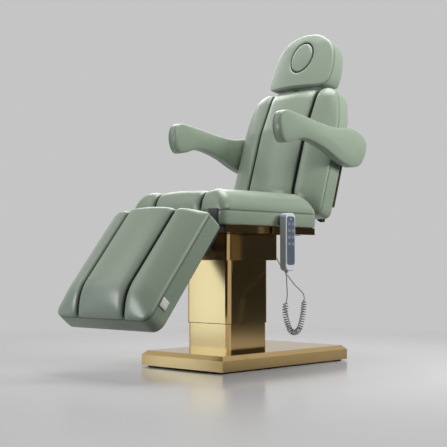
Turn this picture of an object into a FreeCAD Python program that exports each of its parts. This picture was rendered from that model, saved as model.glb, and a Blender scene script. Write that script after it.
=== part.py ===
import FreeCAD, Part
import math
import os

# Electric treatment couch: gold base and lifting column, padded seat, leg rest,
# backrest, headrest with a face-hole plug, two swinging armrests and a corded handset.
# Millimetres, +Z up, feet towards -X and head towards +X. Drawn from a point on the floor
# near the column, and saved with the origin under the middle of the couch's whole box.

V = FreeCAD.Vector
UP = V(0, 0, 1)
ACROSS = V(0, 1, 0)

# Driving dimensions
ORIGIN_X = 17.0             # the saved origin lies this far towards the head from the drawing's
PAD_HALF = 280.0            # half the upholstery's width
BASE_X0, BASE_X1 = -233.0, 603.0
BASE_HALF = 241.0
BASE_Z0, BASE_TOP = 7.0, 70.0
BASE_CHAMFER = 18.0
SHEET = 2.5                 # folded metal of the covers
PLATE_Z0, PLATE_Z1 = 5.0, 13.0
COLUMN_X = 53.0             # the lifting column's axis
LOWER_HALF, UPPER_HALF = 124.0, 128.5
LOWER_TOP = 430.0
UPPER_Z0 = 188.7
SLEEVE_HALF_X, SLEEVE_HALF_Y = 165.0, 156.0
SLEEVE_Z0 = 460.0
CARRIAGE_Z = 560.0          # underside of the plate on top of the column
FRAME_Z0, FRAME_Z1 = 572.0, 602.0
RAIL_IN, RAIL_OUT = 222.0, 252.0
RAIL_X0, RAIL_X1 = -225.0, 352.0
SEAT_X0, SEAT_X1 = -265.0, 342.0
SEAT_SIDE, SEAT_RISE = 66.0, 76.0       # side band of the seat pad, and the dome above it
LEG_PIVOT = V(-270, 0, 588)
LEG_DROP = 51.0             # the leg rest hangs this far below level
LEG_LENGTH = 528.0
LEG_SIDE, LEG_RISE = 84.0, 65.0
BACK_FOOT = V(351, 0, 693)  # front lower edge of the backrest pad
BACK_LEAN = 18.0
BACK_DEPTH, BACK_HEIGHT = 94.0, 592.0
BACK_SIDE, BACK_RISE = 84.0, 70.0
BACK_PIVOT_LOCAL = (34.5, -44.5)
BACK_EAR_Y, BACK_EAR = 139.0, 8.6       # the backrest's hinge ears, and their thickness
HEAD_FOOT = V(560, 0, 1289)  # front lower edge of the headrest pad
HEAD_LEAN = 15.0
HEAD_DEPTH, HEAD_HEIGHT = 80.0, 275.0
HEAD_SIDE, HEAD_RISE = 74.0, 30.0
HEAD_PIVOT = V(630, 0, 1257)
FACE_HOLE_WIDE, FACE_HOLE_TALL, FACE_HOLE_UP = 64.0, 80.0, 144.0
ARM_IN, ARM_OUT = 285.0, 345.0
ARM_PIVOT_LOCAL = (124.5, 320.0)
ARM_SHAFT_R = 12.0
ACTUATOR_Y = 194.0
HINGE_PIN_R, LINK_PIN_R, RUNNING = 6.0, 5.0, 0.05
HANDSET_X, HANDSET_WIDTH = 90.5, 63.0
HANDSET_Y0, HANDSET_Y1 = -330.0, -295.0
HANDSET_Z0, HANDSET_Z1 = 414.0, 658.0
CORD_R, CURL_R = 2.0, 10.0

os.makedirs("parts", exist_ok=True)


# Small building blocks

def block(x0, x1, y0, y1, z0, z1):
    return Part.makeBox(x1 - x0, y1 - y0, z1 - z0, V(x0, y0, z0))


def edges_along(shape, direction):
    found = []
    for edge in shape.Edges:
        if len(edge.Vertexes) == 2:
            run = edge.Vertexes[1].Point - edge.Vertexes[0].Point
            if run.cross(direction).Length < 1e-6:
                found.append(edge)
    return found


def rounded_block(x0, x1, y0, y1, z0, z1, radius, direction=UP):
    solid = block(x0, x1, y0, y1, z0, z1)
    return solid.makeFillet(radius, edges_along(solid, direction))


def square_tube(half_x, half_y, radius, wall, z0, z1):
    outer = rounded_block(COLUMN_X - half_x, COLUMN_X + half_x, -half_y, half_y, z0, z1, radius)
    inner_x, inner_y = half_x - wall, half_y - wall
    inner = rounded_block(COLUMN_X - inner_x, COLUMN_X + inner_x, -inner_y, inner_y,
                          z0 - 1, z1 + 1, radius - wall)
    return outer.cut(inner)


def box_tube(x0, x1, y0, y1, z0, z1, wall, direction):
    """A hollow rectangular tube, open at both ends along the given direction."""
    gap = V(wall, wall, wall) - direction * (wall + 1)
    inner = block(x0 + gap.x, x1 - gap.x, y0 + gap.y, y1 - gap.y, z0 + gap.z, z1 - gap.z)
    return block(x0, x1, y0, y1, z0, z1).cut(inner)


def disc(centre, radius, y0, y1):
    return Part.makeCylinder(radius, y1 - y0, V(centre.x, y0, centre.z), ACROSS)


def rod(start, end, radius):
    return Part.makeCylinder(radius, (end - start).Length, start, end - start)


def strap(p, q, radius_p, radius_q, y0, y1):
    """A flat link with two round ends joined by straight sides."""
    run = V(q.x - p.x, 0, q.z - p.z)
    side = ACROSS.cross(run).normalize()
    corners = [p + side * radius_p, q + side * radius_q, q - side * radius_q, p - side * radius_p]
    corners = [V(c.x, y0, c.z) for c in corners]
    web = Part.Face(Part.makePolygon(corners + corners[:1])).extrude(V(0, y1 - y0, 0))
    link = web.fuse([disc(p, radius_p, y0, y1), disc(q, radius_q, y0, y1)])
    return link.removeSplitter()


def turned(shape, pivot, degrees):
    copy = shape.copy()
    copy.rotate(V(pivot.x, 0, pivot.z), ACROSS, degrees)
    return copy


def turned_point(point, pivot, degrees):
    turn = FreeCAD.Rotation(ACROSS, degrees)
    return pivot + turn.multVec(point - pivot)


def mirrored(shape):
    return shape.mirror(V(0, 0, 0), ACROSS)


def both_sides(shape):
    return [shape, mirrored(shape)]


def joined(shapes):
    return shapes[0].fuse(shapes[1:]).removeSplitter()


def rolled(distance, reach):
    """Share of the full height at a distance from an edge that is rolled over this reach."""
    share = min(max(distance / reach, 0), 1)
    return math.sqrt(1 - (1 - share) ** 2)


def crossing_lines(start, end, first, last):
    """Places along a pad, close together over the rolls at its two ends."""
    shares = (0, 0.03, 0.12, 0.3, 0.6, 1)
    lines = [start - 8] + [start + first * share for share in shares]
    length = end - last - start - first
    lines += [start + first + length * share for share in (0.25, 0.5, 0.75)]
    return lines + [end - last * share for share in reversed(shares)] + [end + 8]


def domed(along, across, height):
    """A thick block under a smooth skin through the heights at the crossing lines."""
    skin = Part.BSplineSurface()
    skin.interpolate([[V(s, y, height(s, y)) for y in across] for s in along])
    return skin.toShape().extrude(V(0, 0, -400))


def stood_up(shape, foot, depth):
    """Turns a pad drawn flat, along X with its underside at zero, to stand on its foot."""
    pad = turned(shape, V(0, 0, 0), -90)
    pad.translate(V(foot.x + depth, 0, foot.z))
    return pad


def save(name, shape):
    solids = shape if isinstance(shape, list) else [shape]
    whole = solids[0] if len(solids) == 1 else Part.makeCompound(solids)
    whole = whole.translated(V(-ORIGIN_X, 0, 0))
    whole.exportStep("parts/" + name + ".step")
    print(name, "solids", len(whole.Solids), "valid", whole.isValid(), "litres",
          round(whole.Volume / 1e6, 3))


def back_point(rearward, upward, y=0):
    """A point given from the backrest's front lower edge, square to its rear face."""
    return turned_point(BACK_FOOT + V(rearward, y, upward), BACK_FOOT, BACK_LEAN)


def on_back(shape):
    return turned(shape, BACK_FOOT, BACK_LEAN)


def on_head(shape):
    return turned(shape, HEAD_FOOT, HEAD_LEAN)


def on_leg(shape):
    return turned(shape, LEG_PIVOT, -LEG_DROP)


BACK_PIVOT = back_point(*BACK_PIVOT_LOCAL)
ARM_PIVOT = back_point(*ARM_PIVOT_LOCAL)

# The linear drives: where each body hangs, and where its rod meets the moving frame.
# The eye at a rod's end is wider than its pin, because the drive's swing and stroke
# follow the hinge in proportion, while the pin travels on an arc.
BACK_DRIVE = V(75, ACTUATOR_Y, 525)
BACK_LUG = BACK_PIVOT + V(61.3, ACTUATOR_Y, -51.4)
BACK_EYE = BACK_LUG + V(2.0, 0, -6.5)
BACK_EYE_R = 12.4
LEG_DRIVE = V(-20, ACTUATOR_Y, 535)
LEG_LUG = LEG_PIVOT + V(-25.7, ACTUATOR_Y, -70.5)
LEG_EYE = LEG_LUG + V(0, 0, 0.4)
LEG_EYE_R = 9.6


# Base: a folded gold cover over a steel plate and frame

def base_cover():
    def slab(inset, z0, z1):
        solid = block(BASE_X0 + inset, BASE_X1 - inset, inset - BASE_HALF, BASE_HALF - inset, z0, z1)
        rim = [e for e in solid.Edges if min(v.Z for v in e.Vertexes) > z1 - 0.01]
        return solid.makeChamfer(BASE_CHAMFER, rim)

    shell = slab(0, BASE_Z0, BASE_TOP).cut(slab(SHEET, BASE_Z0 - BASE_CHAMFER, BASE_TOP - SHEET))
    hole = LOWER_HALF + 0.4
    shell = shell.cut(rounded_block(COLUMN_X - hole, COLUMN_X + hole, -hole, hole,
                                    BASE_TOP - 2 * SHEET, BASE_TOP + 1, 20.4))
    return shell.cut(block(BASE_X1 - 5, BASE_X1 + 1, -24, 24, 15.5, 44.5))


def base_frame():
    rail = box_tube(-205, 575, 165, 205, PLATE_Z1, 47, 2.5, V(1, 0, 0))
    cross = [box_tube(x, x + 40, -165, 165, PLATE_Z1, 47, 2.5, ACROSS) for x in (-190, 190, 520)]
    return joined(both_sides(rail) + cross)


def base_feet():
    profile = [V(0, 0, 0), V(20, 0, 0), V(20, 0, 3), V(16, 0, 5), V(0, 0, 5)]
    puck = Part.Face(Part.makePolygon(profile + profile[:1])).revolve(V(0, 0, 0), UP, 360)
    feet = []
    for x in (BASE_X0 + 34, BASE_X1 - 34):
        for y in (34 - BASE_HALF, BASE_HALF - 34):
            foot = puck.copy()
            foot.translate(V(x, y, 0))
            feet.append(foot)
    return feet


def mains_inlet():
    flange = rounded_block(BASE_X1, BASE_X1 + 2, -30, 30, 14, 46, 4, V(1, 0, 0))
    housing = rounded_block(BASE_X1 - 34, BASE_X1, -23.5, 23.5, 16, 44, 4, V(1, 0, 0))
    socket = rounded_block(BASE_X1 - 16, BASE_X1 + 3, -12, 12, 21, 37, 3, V(1, 0, 0))
    blades = [block(BASE_X1 - 17, BASE_X1 - 2, y - 1, y + 1, z - 2, z + 2)
              for y, z in ((-7, 27), (7, 27), (0, 32))]
    return joined([flange, housing]).cut(socket).fuse(blades).removeSplitter()


save("base_cover", base_cover())
save("base_plate", block(BASE_X0 + 12, BASE_X1 - 12, 12 - BASE_HALF, BASE_HALF - 12,
                         PLATE_Z0, PLATE_Z1))
save("base_frame", base_frame())
save("base_feet", base_feet())
save("mains_inlet", mains_inlet())


# Lifting column: a fixed lower tube, and an upper tube that slides over it,
# guided by a steel post inside and driven by a linear actuator in the post

GUIDE_HALF, GUIDE_TOP = 55.0, 400.0
CARRIAGE_HALF, CARRIAGE_BOTTOM = 61.0, 134.0
PAD_THICK = 1.8
LIFT_TUBE_X, LIFT_MOTOR_X = COLUMN_X - 22, COLUMN_X + 24
LIFT_BORE_R = 15.0


def guide_post():
    foot = rounded_block(COLUMN_X - 80, COLUMN_X + 80, -80, 80, PLATE_Z1, PLATE_Z1 + 8, 6)
    tube = square_tube(GUIDE_HALF, GUIDE_HALF, 8, 4, PLATE_Z1 + 8, GUIDE_TOP)
    return joined([foot, tube])


def guide_pads(inner, outer, z0, z1):
    """Four plastic glides, one on each flat of the square guide."""
    pads = []
    for quarter in range(4):
        pad = block(COLUMN_X + inner, COLUMN_X + outer, -30, 30, z0, z1)
        pad.rotate(V(COLUMN_X, 0, 0), UP, 90 * quarter)
        pads.append(pad)
    return pads


def lift_actuator():
    z0 = PLATE_Z1 + 8
    gearbox = rounded_block(COLUMN_X - 46, COLUMN_X + 46, -24, 24, z0, z0 + 40, 10)
    tube = rod(V(LIFT_TUBE_X, 0, z0 + 40), V(LIFT_TUBE_X, 0, 380), 20)
    motor = rod(V(LIFT_MOTOR_X, 0, z0 + 40), V(LIFT_MOTOR_X, 0, 200), 22)
    bore = rod(V(LIFT_TUBE_X, 0, z0 + 6), V(LIFT_TUBE_X, 0, 381), LIFT_BORE_R)
    return joined([gearbox, tube, motor]).cut(bore)


def column_sleeve():
    walls = square_tube(SLEEVE_HALF_X, SLEEVE_HALF_Y, 20, SHEET, SLEEVE_Z0, FRAME_Z0 - 0.4)
    floor = rounded_block(COLUMN_X - SLEEVE_HALF_X, COLUMN_X + SLEEVE_HALF_X, -SLEEVE_HALF_Y,
                          SLEEVE_HALF_Y, SLEEVE_Z0, SLEEVE_Z0 + SHEET, 20)
    hole = UPPER_HALF + 0.3
    floor = floor.cut(rounded_block(COLUMN_X - hole, COLUMN_X + hole, -hole, hole,
                                    SLEEVE_Z0 - 1, SLEEVE_Z0 + 2 * SHEET, 22.3))
    return joined([walls, floor])


save("column_lower_tube", square_tube(LOWER_HALF, LOWER_HALF, 20, 3, PLATE_Z1, LOWER_TOP))
save("guide_post", guide_post())
save("guide_pads_fixed", guide_pads(GUIDE_HALF, GUIDE_HALF + PAD_THICK, 365, 398))
save("lift_actuator", lift_actuator())
save("column_wiper", square_tube(UPPER_HALF, UPPER_HALF, 22, 4.1, UPPER_Z0, UPPER_Z0 + SHEET))
save("column_upper_tube", square_tube(UPPER_HALF, UPPER_HALF, 22, 3.5, UPPER_Z0 + SHEET, CARRIAGE_Z))
save("column_sleeve", column_sleeve())
save("carriage_tube", square_tube(CARRIAGE_HALF, CARRIAGE_HALF, 10, 4, CARRIAGE_BOTTOM, CARRIAGE_Z))
save("guide_pads_moving", guide_pads(CARRIAGE_HALF - 4 - PAD_THICK, CARRIAGE_HALF - 4,
                                     CARRIAGE_BOTTOM + 2, CARRIAGE_BOTTOM + 45))
save("lift_rod", rod(V(LIFT_TUBE_X, 0, 140), V(LIFT_TUBE_X, 0, CARRIAGE_Z), LIFT_BORE_R - RUNNING))
save("carriage_plate", rounded_block(COLUMN_X - 160, COLUMN_X + 160, -150, 150, CARRIAGE_Z, FRAME_Z0, 24))


# Seat: a gold tube frame on the carriage plate, a board, and the pad on it

def seat_cushion():
    front_roll, rear_roll, side_roll = 55, 90, 95

    def height(x, y):
        ends = rolled(x - SEAT_X0, front_roll) * rolled(SEAT_X1 - x, rear_roll)
        return FRAME_Z1 + SEAT_SIDE + SEAT_RISE * ends * rolled(PAD_HALF - abs(y), side_roll)

    dome = domed(crossing_lines(SEAT_X0, SEAT_X1, front_roll, rear_roll),
                 crossing_lines(-PAD_HALF, PAD_HALF, side_roll, side_roll), height)
    plan = rounded_block(SEAT_X0, SEAT_X1, -PAD_HALF, PAD_HALF, FRAME_Z1, FRAME_Z1 + 300, 34)
    return plan.common(dome).cut(seat_board(0.3))


def seat_board(margin=0.0):
    return block(-238 - margin, 328 + margin, -258 - margin, 258 + margin, FRAME_Z1 - margin,
                 FRAME_Z1 + 12 + margin)


def hinge_bracket(rail_end, pivot, boss_r, flange_y, y0, y1):
    """A plate welded to the frame's end, which carries one hinge ear."""
    away = math.copysign(4, pivot.x - rail_end)
    x0, x1 = sorted((rail_end, rail_end + away))
    flange = block(x0, x1, flange_y, flange_y + RAIL_OUT - RAIL_IN, FRAME_Z0, FRAME_Z1)
    ear = strap(V(rail_end + away, 0, 587), pivot, 13, boss_r, y0, y1)
    inside_rail = sorted((rail_end, rail_end - 10 * away))
    ear = ear.cut(block(*inside_rail, y0 - 1, y1 + 1, FRAME_Z0 - 40, FRAME_Z1 + 40))
    return joined([flange, ear])


def back_hinge():
    """A bracket with its fixed pin, which the backrest's ear turns on, and the end cap."""
    ear_y = BACK_EAR_Y + BACK_EAR + 0.4
    bracket = hinge_bracket(RAIL_X1, BACK_PIVOT, 16, BACK_EAR_Y, ear_y, ear_y + 8)
    pin = disc(BACK_PIVOT, HINGE_PIN_R, BACK_EAR_Y - 4.5, ear_y + 9)
    head = disc(BACK_PIVOT, 10, ear_y + 8, ear_y + 12)
    cap = disc(BACK_PIVOT, 9, BACK_EAR_Y - 4.5, BACK_EAR_Y - 0.5)
    return joined([bracket, pin, head, cap])


def leg_hinge():
    """Both leg brackets with the shaft that runs across between them."""
    bracket = hinge_bracket(RAIL_X0, LEG_PIVOT, 10, RAIL_IN, 240, 248)
    return joined(both_sides(bracket) + [disc(LEG_PIVOT, HINGE_PIN_R, -260, 260)])


def drive_mount(pivot):
    """A clevis under the rail that carries the rear eye of one linear drive, with its pin."""
    top = block(pivot.x - 28, pivot.x + 28, 168, RAIL_OUT, FRAME_Z0 - 6, FRAME_Z0)
    low = V(pivot.x, 0, pivot.z)
    cheeks = []
    for y0 in (168.0, 212.0):
        cheek = strap(V(pivot.x, 0, FRAME_Z0 - 4), low, 22, 13, y0, y0 + 6)
        cheeks.append(cheek.cut(block(pivot.x - 40, pivot.x + 40, y0 - 1, y0 + 7, FRAME_Z0, 700)))
    pin = disc(low, LINK_PIN_R, 165, 221)
    return joined([top, pin] + cheeks)


def control_box():
    body = rounded_block(264, 334, -110, 110, 577, FRAME_Z1, 6)
    lid_line = block(263, 335, -111, 111, 588, 589).cut(block(265, 333, -109, 109, 587, 590))
    sockets = [rounded_block(260, 272, y - 9, y + 9, 579, 586, 1.5, V(1, 0, 0))
               for y in (-75, -45, -15, 15, 45, 75)]
    return body.cut(lid_line).cut(Part.makeCompound(sockets))


seat_rail = box_tube(RAIL_X0, RAIL_X1, RAIL_IN, RAIL_OUT, FRAME_Z0, FRAME_Z1, 2.5, V(1, 0, 0))
save("seat_rails", both_sides(seat_rail))
cross_members = [box_tube(x - 15, x + 15, -RAIL_IN, RAIL_IN, FRAME_Z0, FRAME_Z1, 2.5, ACROSS)
                 for x in (-205, -57, 163, 238)]
end_member = box_tube(RAIL_X1 - 15, RAIL_X1, -RAIL_IN, RAIL_IN, FRAME_Z1 - 18, FRAME_Z1, 2.5, ACROSS)
save("seat_cross_members", cross_members + [end_member])
save("seat_board", seat_board())
save("seat_cushion", seat_cushion())
save("control_box", control_box())
save("back_hinges", both_sides(back_hinge()))
save("leg_hinge", leg_hinge())
save("drive_mounts", [drive_mount(BACK_DRIVE), drive_mount(LEG_DRIVE)])


# Leg rest, drawn level and then swung down about its hinge

LEG_X1 = -272.0
LEG_X0 = LEG_X1 - LEG_LENGTH
LEG_Z0 = 604.0


def leg_cushion():
    foot_roll, hinge_roll = 140, 30

    def height(x, y):
        short = 1 - min(max((x - LEG_X0) / foot_roll, 0), 1)
        dome = LEG_RISE * (1 - 0.95 * (y / PAD_HALF) ** 2) * (1 - short ** 2)
        return LEG_Z0 - 4 + LEG_SIDE + dome * rolled(LEG_X1 - x, hinge_roll)

    dome = domed(crossing_lines(LEG_X0, LEG_X1, foot_roll, hinge_roll),
                 crossing_lines(-PAD_HALF, PAD_HALF, 60, 60), height)
    plan = block(LEG_X0, LEG_X1, -PAD_HALF, PAD_HALF, LEG_Z0 - 4, LEG_Z0 + 300)
    plan = plan.makeFillet(45, [e for e in edges_along(plan, UP) if e.Vertexes[0].X < LEG_X0 + 1])
    return plan.common(dome).cut(leg_board(0.3))


def leg_board(margin=0.0):
    board = block(LEG_X0 + 6 - margin, LEG_X1 - 4 + margin, 6 - PAD_HALF - margin,
                  PAD_HALF - 6 + margin, LEG_Z0 - 5, LEG_Z0 + margin)
    foot_corners = [e for e in edges_along(board, UP) if e.Vertexes[0].X < LEG_X0 + 10]
    return board.makeFillet(40, foot_corners)


def leg_frame():
    z1 = LEG_Z0 - 5
    lug = turned_point(LEG_LUG, LEG_PIVOT, LEG_DROP)
    tube_x = lug.x - 62
    rail = box_tube(-740, -292, 140, 165, z1 - 20, z1, 2, V(1, 0, 0))
    cross = box_tube(-720, -695, -140, 140, z1 - 20, z1, 2, ACROSS)
    front = box_tube(tube_x, tube_x + 28, -257, 257, z1 - 20, z1, 2, ACROSS)
    root = V(tube_x + 14, 0, z1 - 11)
    cheeks = [strap(root, lug, 11, 11, y0, y0 + 7) for y0 in (176.0, 205.0)]
    pin = disc(lug, LINK_PIN_R, 174, 214)
    ear = strap(root, LEG_PIVOT, 11, 11, 249, 257)
    ear = ear.cut(disc(LEG_PIVOT, HINGE_PIN_R + RUNNING, 240, 260))
    return joined([front, cross, pin] + cheeks + both_sides(rail) + both_sides(ear))


save("leg_cushion", on_leg(leg_cushion()))
save("leg_board", on_leg(leg_board()))
save("leg_frame", on_leg(leg_frame()))


# Backrest, drawn upright and then leaned back about its front lower edge

def back_outline(inset, x):
    """The pad's outline seen from the front: straight sides, shoulders that curve in."""
    half, top, bottom = PAD_HALF - inset, BACK_HEIGHT - inset, inset - 22.0
    shoulder = (half, top - 205)
    corner = (half - 60, top - 22)
    side = Part.LineSegment(point_yz(x, half, bottom + 30), point_yz(x, *shoulder))
    curve = Part.Arc(point_yz(x, *shoulder), point_yz(x, half - 17, top - 105), point_yz(x, *corner))
    crown = Part.Arc(point_yz(x, *corner), point_yz(x, half - 84, top), point_yz(x, half - 122, top + 6))
    lid = Part.Arc(point_yz(x, half - 122, top + 6), point_yz(x, 0, top + 13),
                   point_yz(x, 122 - half, top + 6))
    foot = Part.Arc(point_yz(x, half - 30, bottom), point_yz(x, half - 8.8, bottom + 8.8),
                    point_yz(x, half, bottom + 30))
    right = [foot, side, curve, crown]
    edges = [g.toShape() for g in right]
    edges += [mirrored(e) for e in edges]
    edges += [lid.toShape()]
    edges += [Part.LineSegment(point_yz(x, half - 30, bottom), point_yz(x, 30 - half, bottom)).toShape()]
    return Part.Face(Part.Wire(Part.__sortEdges__(edges)))


def point_yz(x, y, up):
    return V(x, y, BACK_FOOT.z + up)


def back_cushion():
    foot_roll, top_roll = 115, 60
    bottom, top = -22, BACK_HEIGHT + 13

    def height(up, y):
        lean_in = 1 - 0.0023 * max(up - 380, 0)
        short = 1 - min(max((up - bottom) / foot_roll, 0), 1)
        ends = (1 - short ** 2) * rolled(top - up, top_roll)
        return BACK_SIDE + BACK_RISE * (1 - (y / PAD_HALF) ** 2) * ends * lean_in

    dome = domed(crossing_lines(bottom, top, foot_roll, top_roll),
                 crossing_lines(-PAD_HALF, PAD_HALF, 60, 60), height)
    plan = back_outline(0, BACK_FOOT.x - 200).extrude(V(200 + BACK_DEPTH, 0, 0))
    return plan.common(stood_up(dome, BACK_FOOT, BACK_DEPTH))


def back_frame():
    """Tube frame behind the back board, with hinge ears, the drive's lug and the arm bearings."""
    x0, x1 = BACK_FOOT.x + BACK_DEPTH + 10, BACK_FOOT.x + BACK_DEPTH + 35
    z = BACK_FOOT.z
    rail = box_tube(x0, x1, 194, 219, z - 20, z + 560, 2, UP)
    cross = [box_tube(x0, x1, -194, 194, z + up, z + up + 25, 2, ACROSS) for up in (20, 330, 520)]
    pivot = V(BACK_FOOT.x + BACK_PIVOT_LOCAL[0], 0, z + BACK_PIVOT_LOCAL[1])
    elbow = V(x0 + 13, 0, pivot.z)
    ear_y1 = BACK_EAR_Y + BACK_EAR
    ear = joined([strap(pivot, elbow, 14, 12, BACK_EAR_Y, ear_y1),
                  strap(elbow, V(x0 + 13, 0, z + 40), 12, 12, BACK_EAR_Y, ear_y1)])
    ear = ear.cut(disc(pivot, HINGE_PIN_R + RUNNING, BACK_EAR_Y - 1, ear_y1 + 1))
    lug = turned_point(BACK_LUG, BACK_FOOT, -BACK_LEAN)
    cheeks = [strap(lug, V(x0 + 13, 0, z + 32), 12, 12, y0, y0 + 7) for y0 in (176.0, 205.0)]
    board_side = block(x0 - 40, x0, 170, 220, z - 26, z + 60)
    cheeks = [cheek.cut(board_side) for cheek in cheeks]
    pin = disc(lug, LINK_PIN_R, 174, 214)
    arm = V(BACK_FOOT.x + ARM_PIVOT_LOCAL[0], 0, z + ARM_PIVOT_LOCAL[1])
    bearing = disc(arm, 20, 219, 276).cut(disc(arm, ARM_SHAFT_R + RUNNING, 218, 277))
    sides = both_sides(rail) + both_sides(ear) + both_sides(bearing)
    return joined(cross + [pin] + cheeks + sides)


def back_board():
    return back_outline(14, BACK_FOOT.x + BACK_DEPTH).extrude(V(10, 0, 0))


save("back_cushion", on_back(back_cushion()))
save("back_board", on_back(back_board()))
save("back_frame", on_back(back_frame()))


# Headrest: an arched pad with a face hole, hinged to the top of the back board

HEAD_OUTLINE = [(80, 0), (148, 1), (177, 26), (182, 104), (158, 194), (93, 252)]


def head_outline(inset, x):
    """The arched outline as one smooth closed curve, nearly straight along the foot."""
    middle = V(x, 0, HEAD_FOOT.z + HEAD_HEIGHT / 2)
    shrink = 1 - inset / 150
    side = [V(0, y, up - HEAD_HEIGHT / 2) * shrink for y, up in HEAD_OUTLINE]
    top = V(0, 0, HEAD_HEIGHT / 2) * shrink
    ring = [top * -1] + side + [top] + [V(0, -p.y, p.z) for p in reversed(side)]
    outline = Part.BSplineCurve()
    outline.interpolate([middle + p for p in ring], PeriodicFlag=True)
    return Part.Face(Part.Wire([outline.toShape()]))


def head_dome():
    """The headrest's front skin: domed both ways, and fuller towards its foot."""
    bottom, foot_roll, top_roll, half = -6, 45, 70, 185

    def height(up, y):
        ends = rolled(up - bottom, foot_roll) * rolled(HEAD_HEIGHT - up, top_roll)
        fuller = HEAD_RISE * (1 - 0.95 * (y / half) ** 2) + 0.12 * (FACE_HOLE_UP - up)
        return HEAD_SIDE + fuller * ends

    dome = domed(crossing_lines(bottom, HEAD_HEIGHT, foot_roll, top_roll),
                 crossing_lines(-half, half, 45, 45), height)
    return stood_up(dome, HEAD_FOOT, HEAD_DEPTH)


def head_cushion():
    plan = head_outline(0, HEAD_FOOT.x - 100).extrude(V(100 + HEAD_DEPTH, 0, 0))
    return plan.common(head_dome()).cut(face_hole(0, -100, HEAD_DEPTH + 20))


def face_hole(margin, x0, x1):
    """An upright oval prism through the pad, larger or smaller than the hole by a margin."""
    centre = HEAD_FOOT + V(x0, 0, FACE_HOLE_UP)
    tall, wide = FACE_HOLE_TALL + margin, FACE_HOLE_WIDE + margin
    oval = Part.Ellipse(centre + V(0, 0, tall), centre + V(0, wide, 0), centre)
    return Part.Face(Part.Wire([oval.toShape()])).extrude(V(x1 - x0, 0, 0))


def face_plug():
    return face_hole(-1.5, -100, HEAD_DEPTH - 4).common(head_dome())


def head_board():
    board = head_outline(12, HEAD_FOOT.x + HEAD_DEPTH).extrude(V(7, 0, 0))
    return board.cut(face_hole(4, HEAD_DEPTH - 1, HEAD_DEPTH + 20))


HEAD_HINGE_Y = 95.0


def head_hinge_bracket():
    """A strap on the back board that rises to the hinge and holds the shaft."""
    x0 = BACK_FOOT.x + BACK_DEPTH + 10
    foot = block(x0, x0 + 5, HEAD_HINGE_Y - 16, HEAD_HINGE_Y + 16, BACK_FOOT.z + 555, BACK_FOOT.z + 604)
    ear = strap(back_point(BACK_DEPTH + 12.5, 600), HEAD_PIVOT, 6, 8, HEAD_HINGE_Y - 16, HEAD_HINGE_Y - 8)
    return joined([on_back(foot), ear])


def head_hinge():
    shaft = disc(HEAD_PIVOT, LINK_PIN_R, -HEAD_HINGE_Y - 3, HEAD_HINGE_Y + 3)
    return joined(both_sides(head_hinge_bracket()) + [shaft])


def head_hinge_leaf():
    """The moving half: a plate on the head board, and a tail below the pad with the ear."""
    x0, z = HEAD_FOOT.x + HEAD_DEPTH + 7, HEAD_FOOT.z
    plate = block(x0, x0 + 4, HEAD_HINGE_Y - 16, HEAD_HINGE_Y + 16, z + 18, z + 70)
    tail = block(x0, x0 + 4, HEAD_HINGE_Y - 7.6, HEAD_HINGE_Y + 16, z - 15, z + 18)
    root = turned_point(V(x0 + 2, 0, z - 11.5), HEAD_FOOT, HEAD_LEAN)
    ear = strap(root, HEAD_PIVOT, 3.5, 8, HEAD_HINGE_Y - 7.6, HEAD_HINGE_Y)
    leaf = joined([on_head(plate), on_head(tail), ear])
    return leaf.cut(disc(HEAD_PIVOT, LINK_PIN_R + RUNNING, 0, 200))


save("head_hinge", head_hinge())
save("head_cushion", on_head(head_cushion()))
save("head_board", on_head(head_board()))
save("head_hinge_leaves", both_sides(head_hinge_leaf()))
save("face_plug", on_head(face_plug()))


# Armrests: bone-shaped pads outside the backrest, each on a shaft behind it

ARM_OUTLINE = [(14, 1025), (45, 1090), (165, 1080), (300, 1058), (410, 1049), (520, 1056),
               (600, 1032), (631, 980), (590, 900), (520, 882), (430, 905), (330, 948),
               (240, 973), (165, 980), (50, 956)]


def armrest():
    spline = Part.BSplineCurve()
    spline.interpolate([V(x, ARM_IN, z) for x, z in ARM_OUTLINE], PeriodicFlag=True)
    face = Part.Face(Part.Wire([spline.toShape()]))
    pad = face.extrude(V(0, ARM_OUT - ARM_IN, 0))
    return pad.makeFillet(12, [e for e in pad.Edges if e.isClosed()])


def arm_shaft():
    shaft = disc(ARM_PIVOT, ARM_SHAFT_R, 222, 281)
    flange = disc(ARM_PIVOT, 38, 280.5, ARM_IN)
    return joined([shaft, flange])


for side, place in (("right", lambda s: s), ("left", mirrored)):
    save("armrest_pad_" + side, place(armrest()))
    save("arm_shaft_" + side, place(arm_shaft()))


# Linear drives of the backrest and the leg rest: motor body and sliding rod

def drive_axis(pivot, eye):
    return (eye - pivot).normalize()


def drive_body(pivot, eye, reach):
    """Rear eye, gear housing, outer tube, and the motor slung under the tube."""
    axis = drive_axis(pivot, eye)
    down = ACROSS.cross(axis)
    if down.z > 0:
        down = down * -1
    eye_end = disc(pivot, 14, ACTUATOR_Y - 12, ACTUATOR_Y + 12)
    neck = rod(pivot, pivot + axis * 40, 11)
    gearbox = rod(pivot + axis * 34, pivot + axis * 72, 21)
    tube = rod(pivot + axis * 60, pivot + axis * reach, 16)
    hang = pivot + down * 35
    motor = rod(hang + axis * 34, hang + axis * 130, 17.5)
    corners = [pivot + axis * 36, pivot + axis * 70, hang + axis * 70, hang + axis * 36]
    corners = [V(c.x, ACTUATOR_Y - 14, c.z) for c in corners]
    web = Part.Face(Part.makePolygon(corners + corners[:1])).extrude(V(0, 28, 0))
    body = joined([eye_end, neck, gearbox, tube, web, motor])
    body = body.cut(rod(pivot + axis * 46, pivot + axis * (reach + 1), 10))
    return body.cut(disc(pivot, LINK_PIN_R + RUNNING, ACTUATOR_Y - 30, ACTUATOR_Y + 30))


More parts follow.
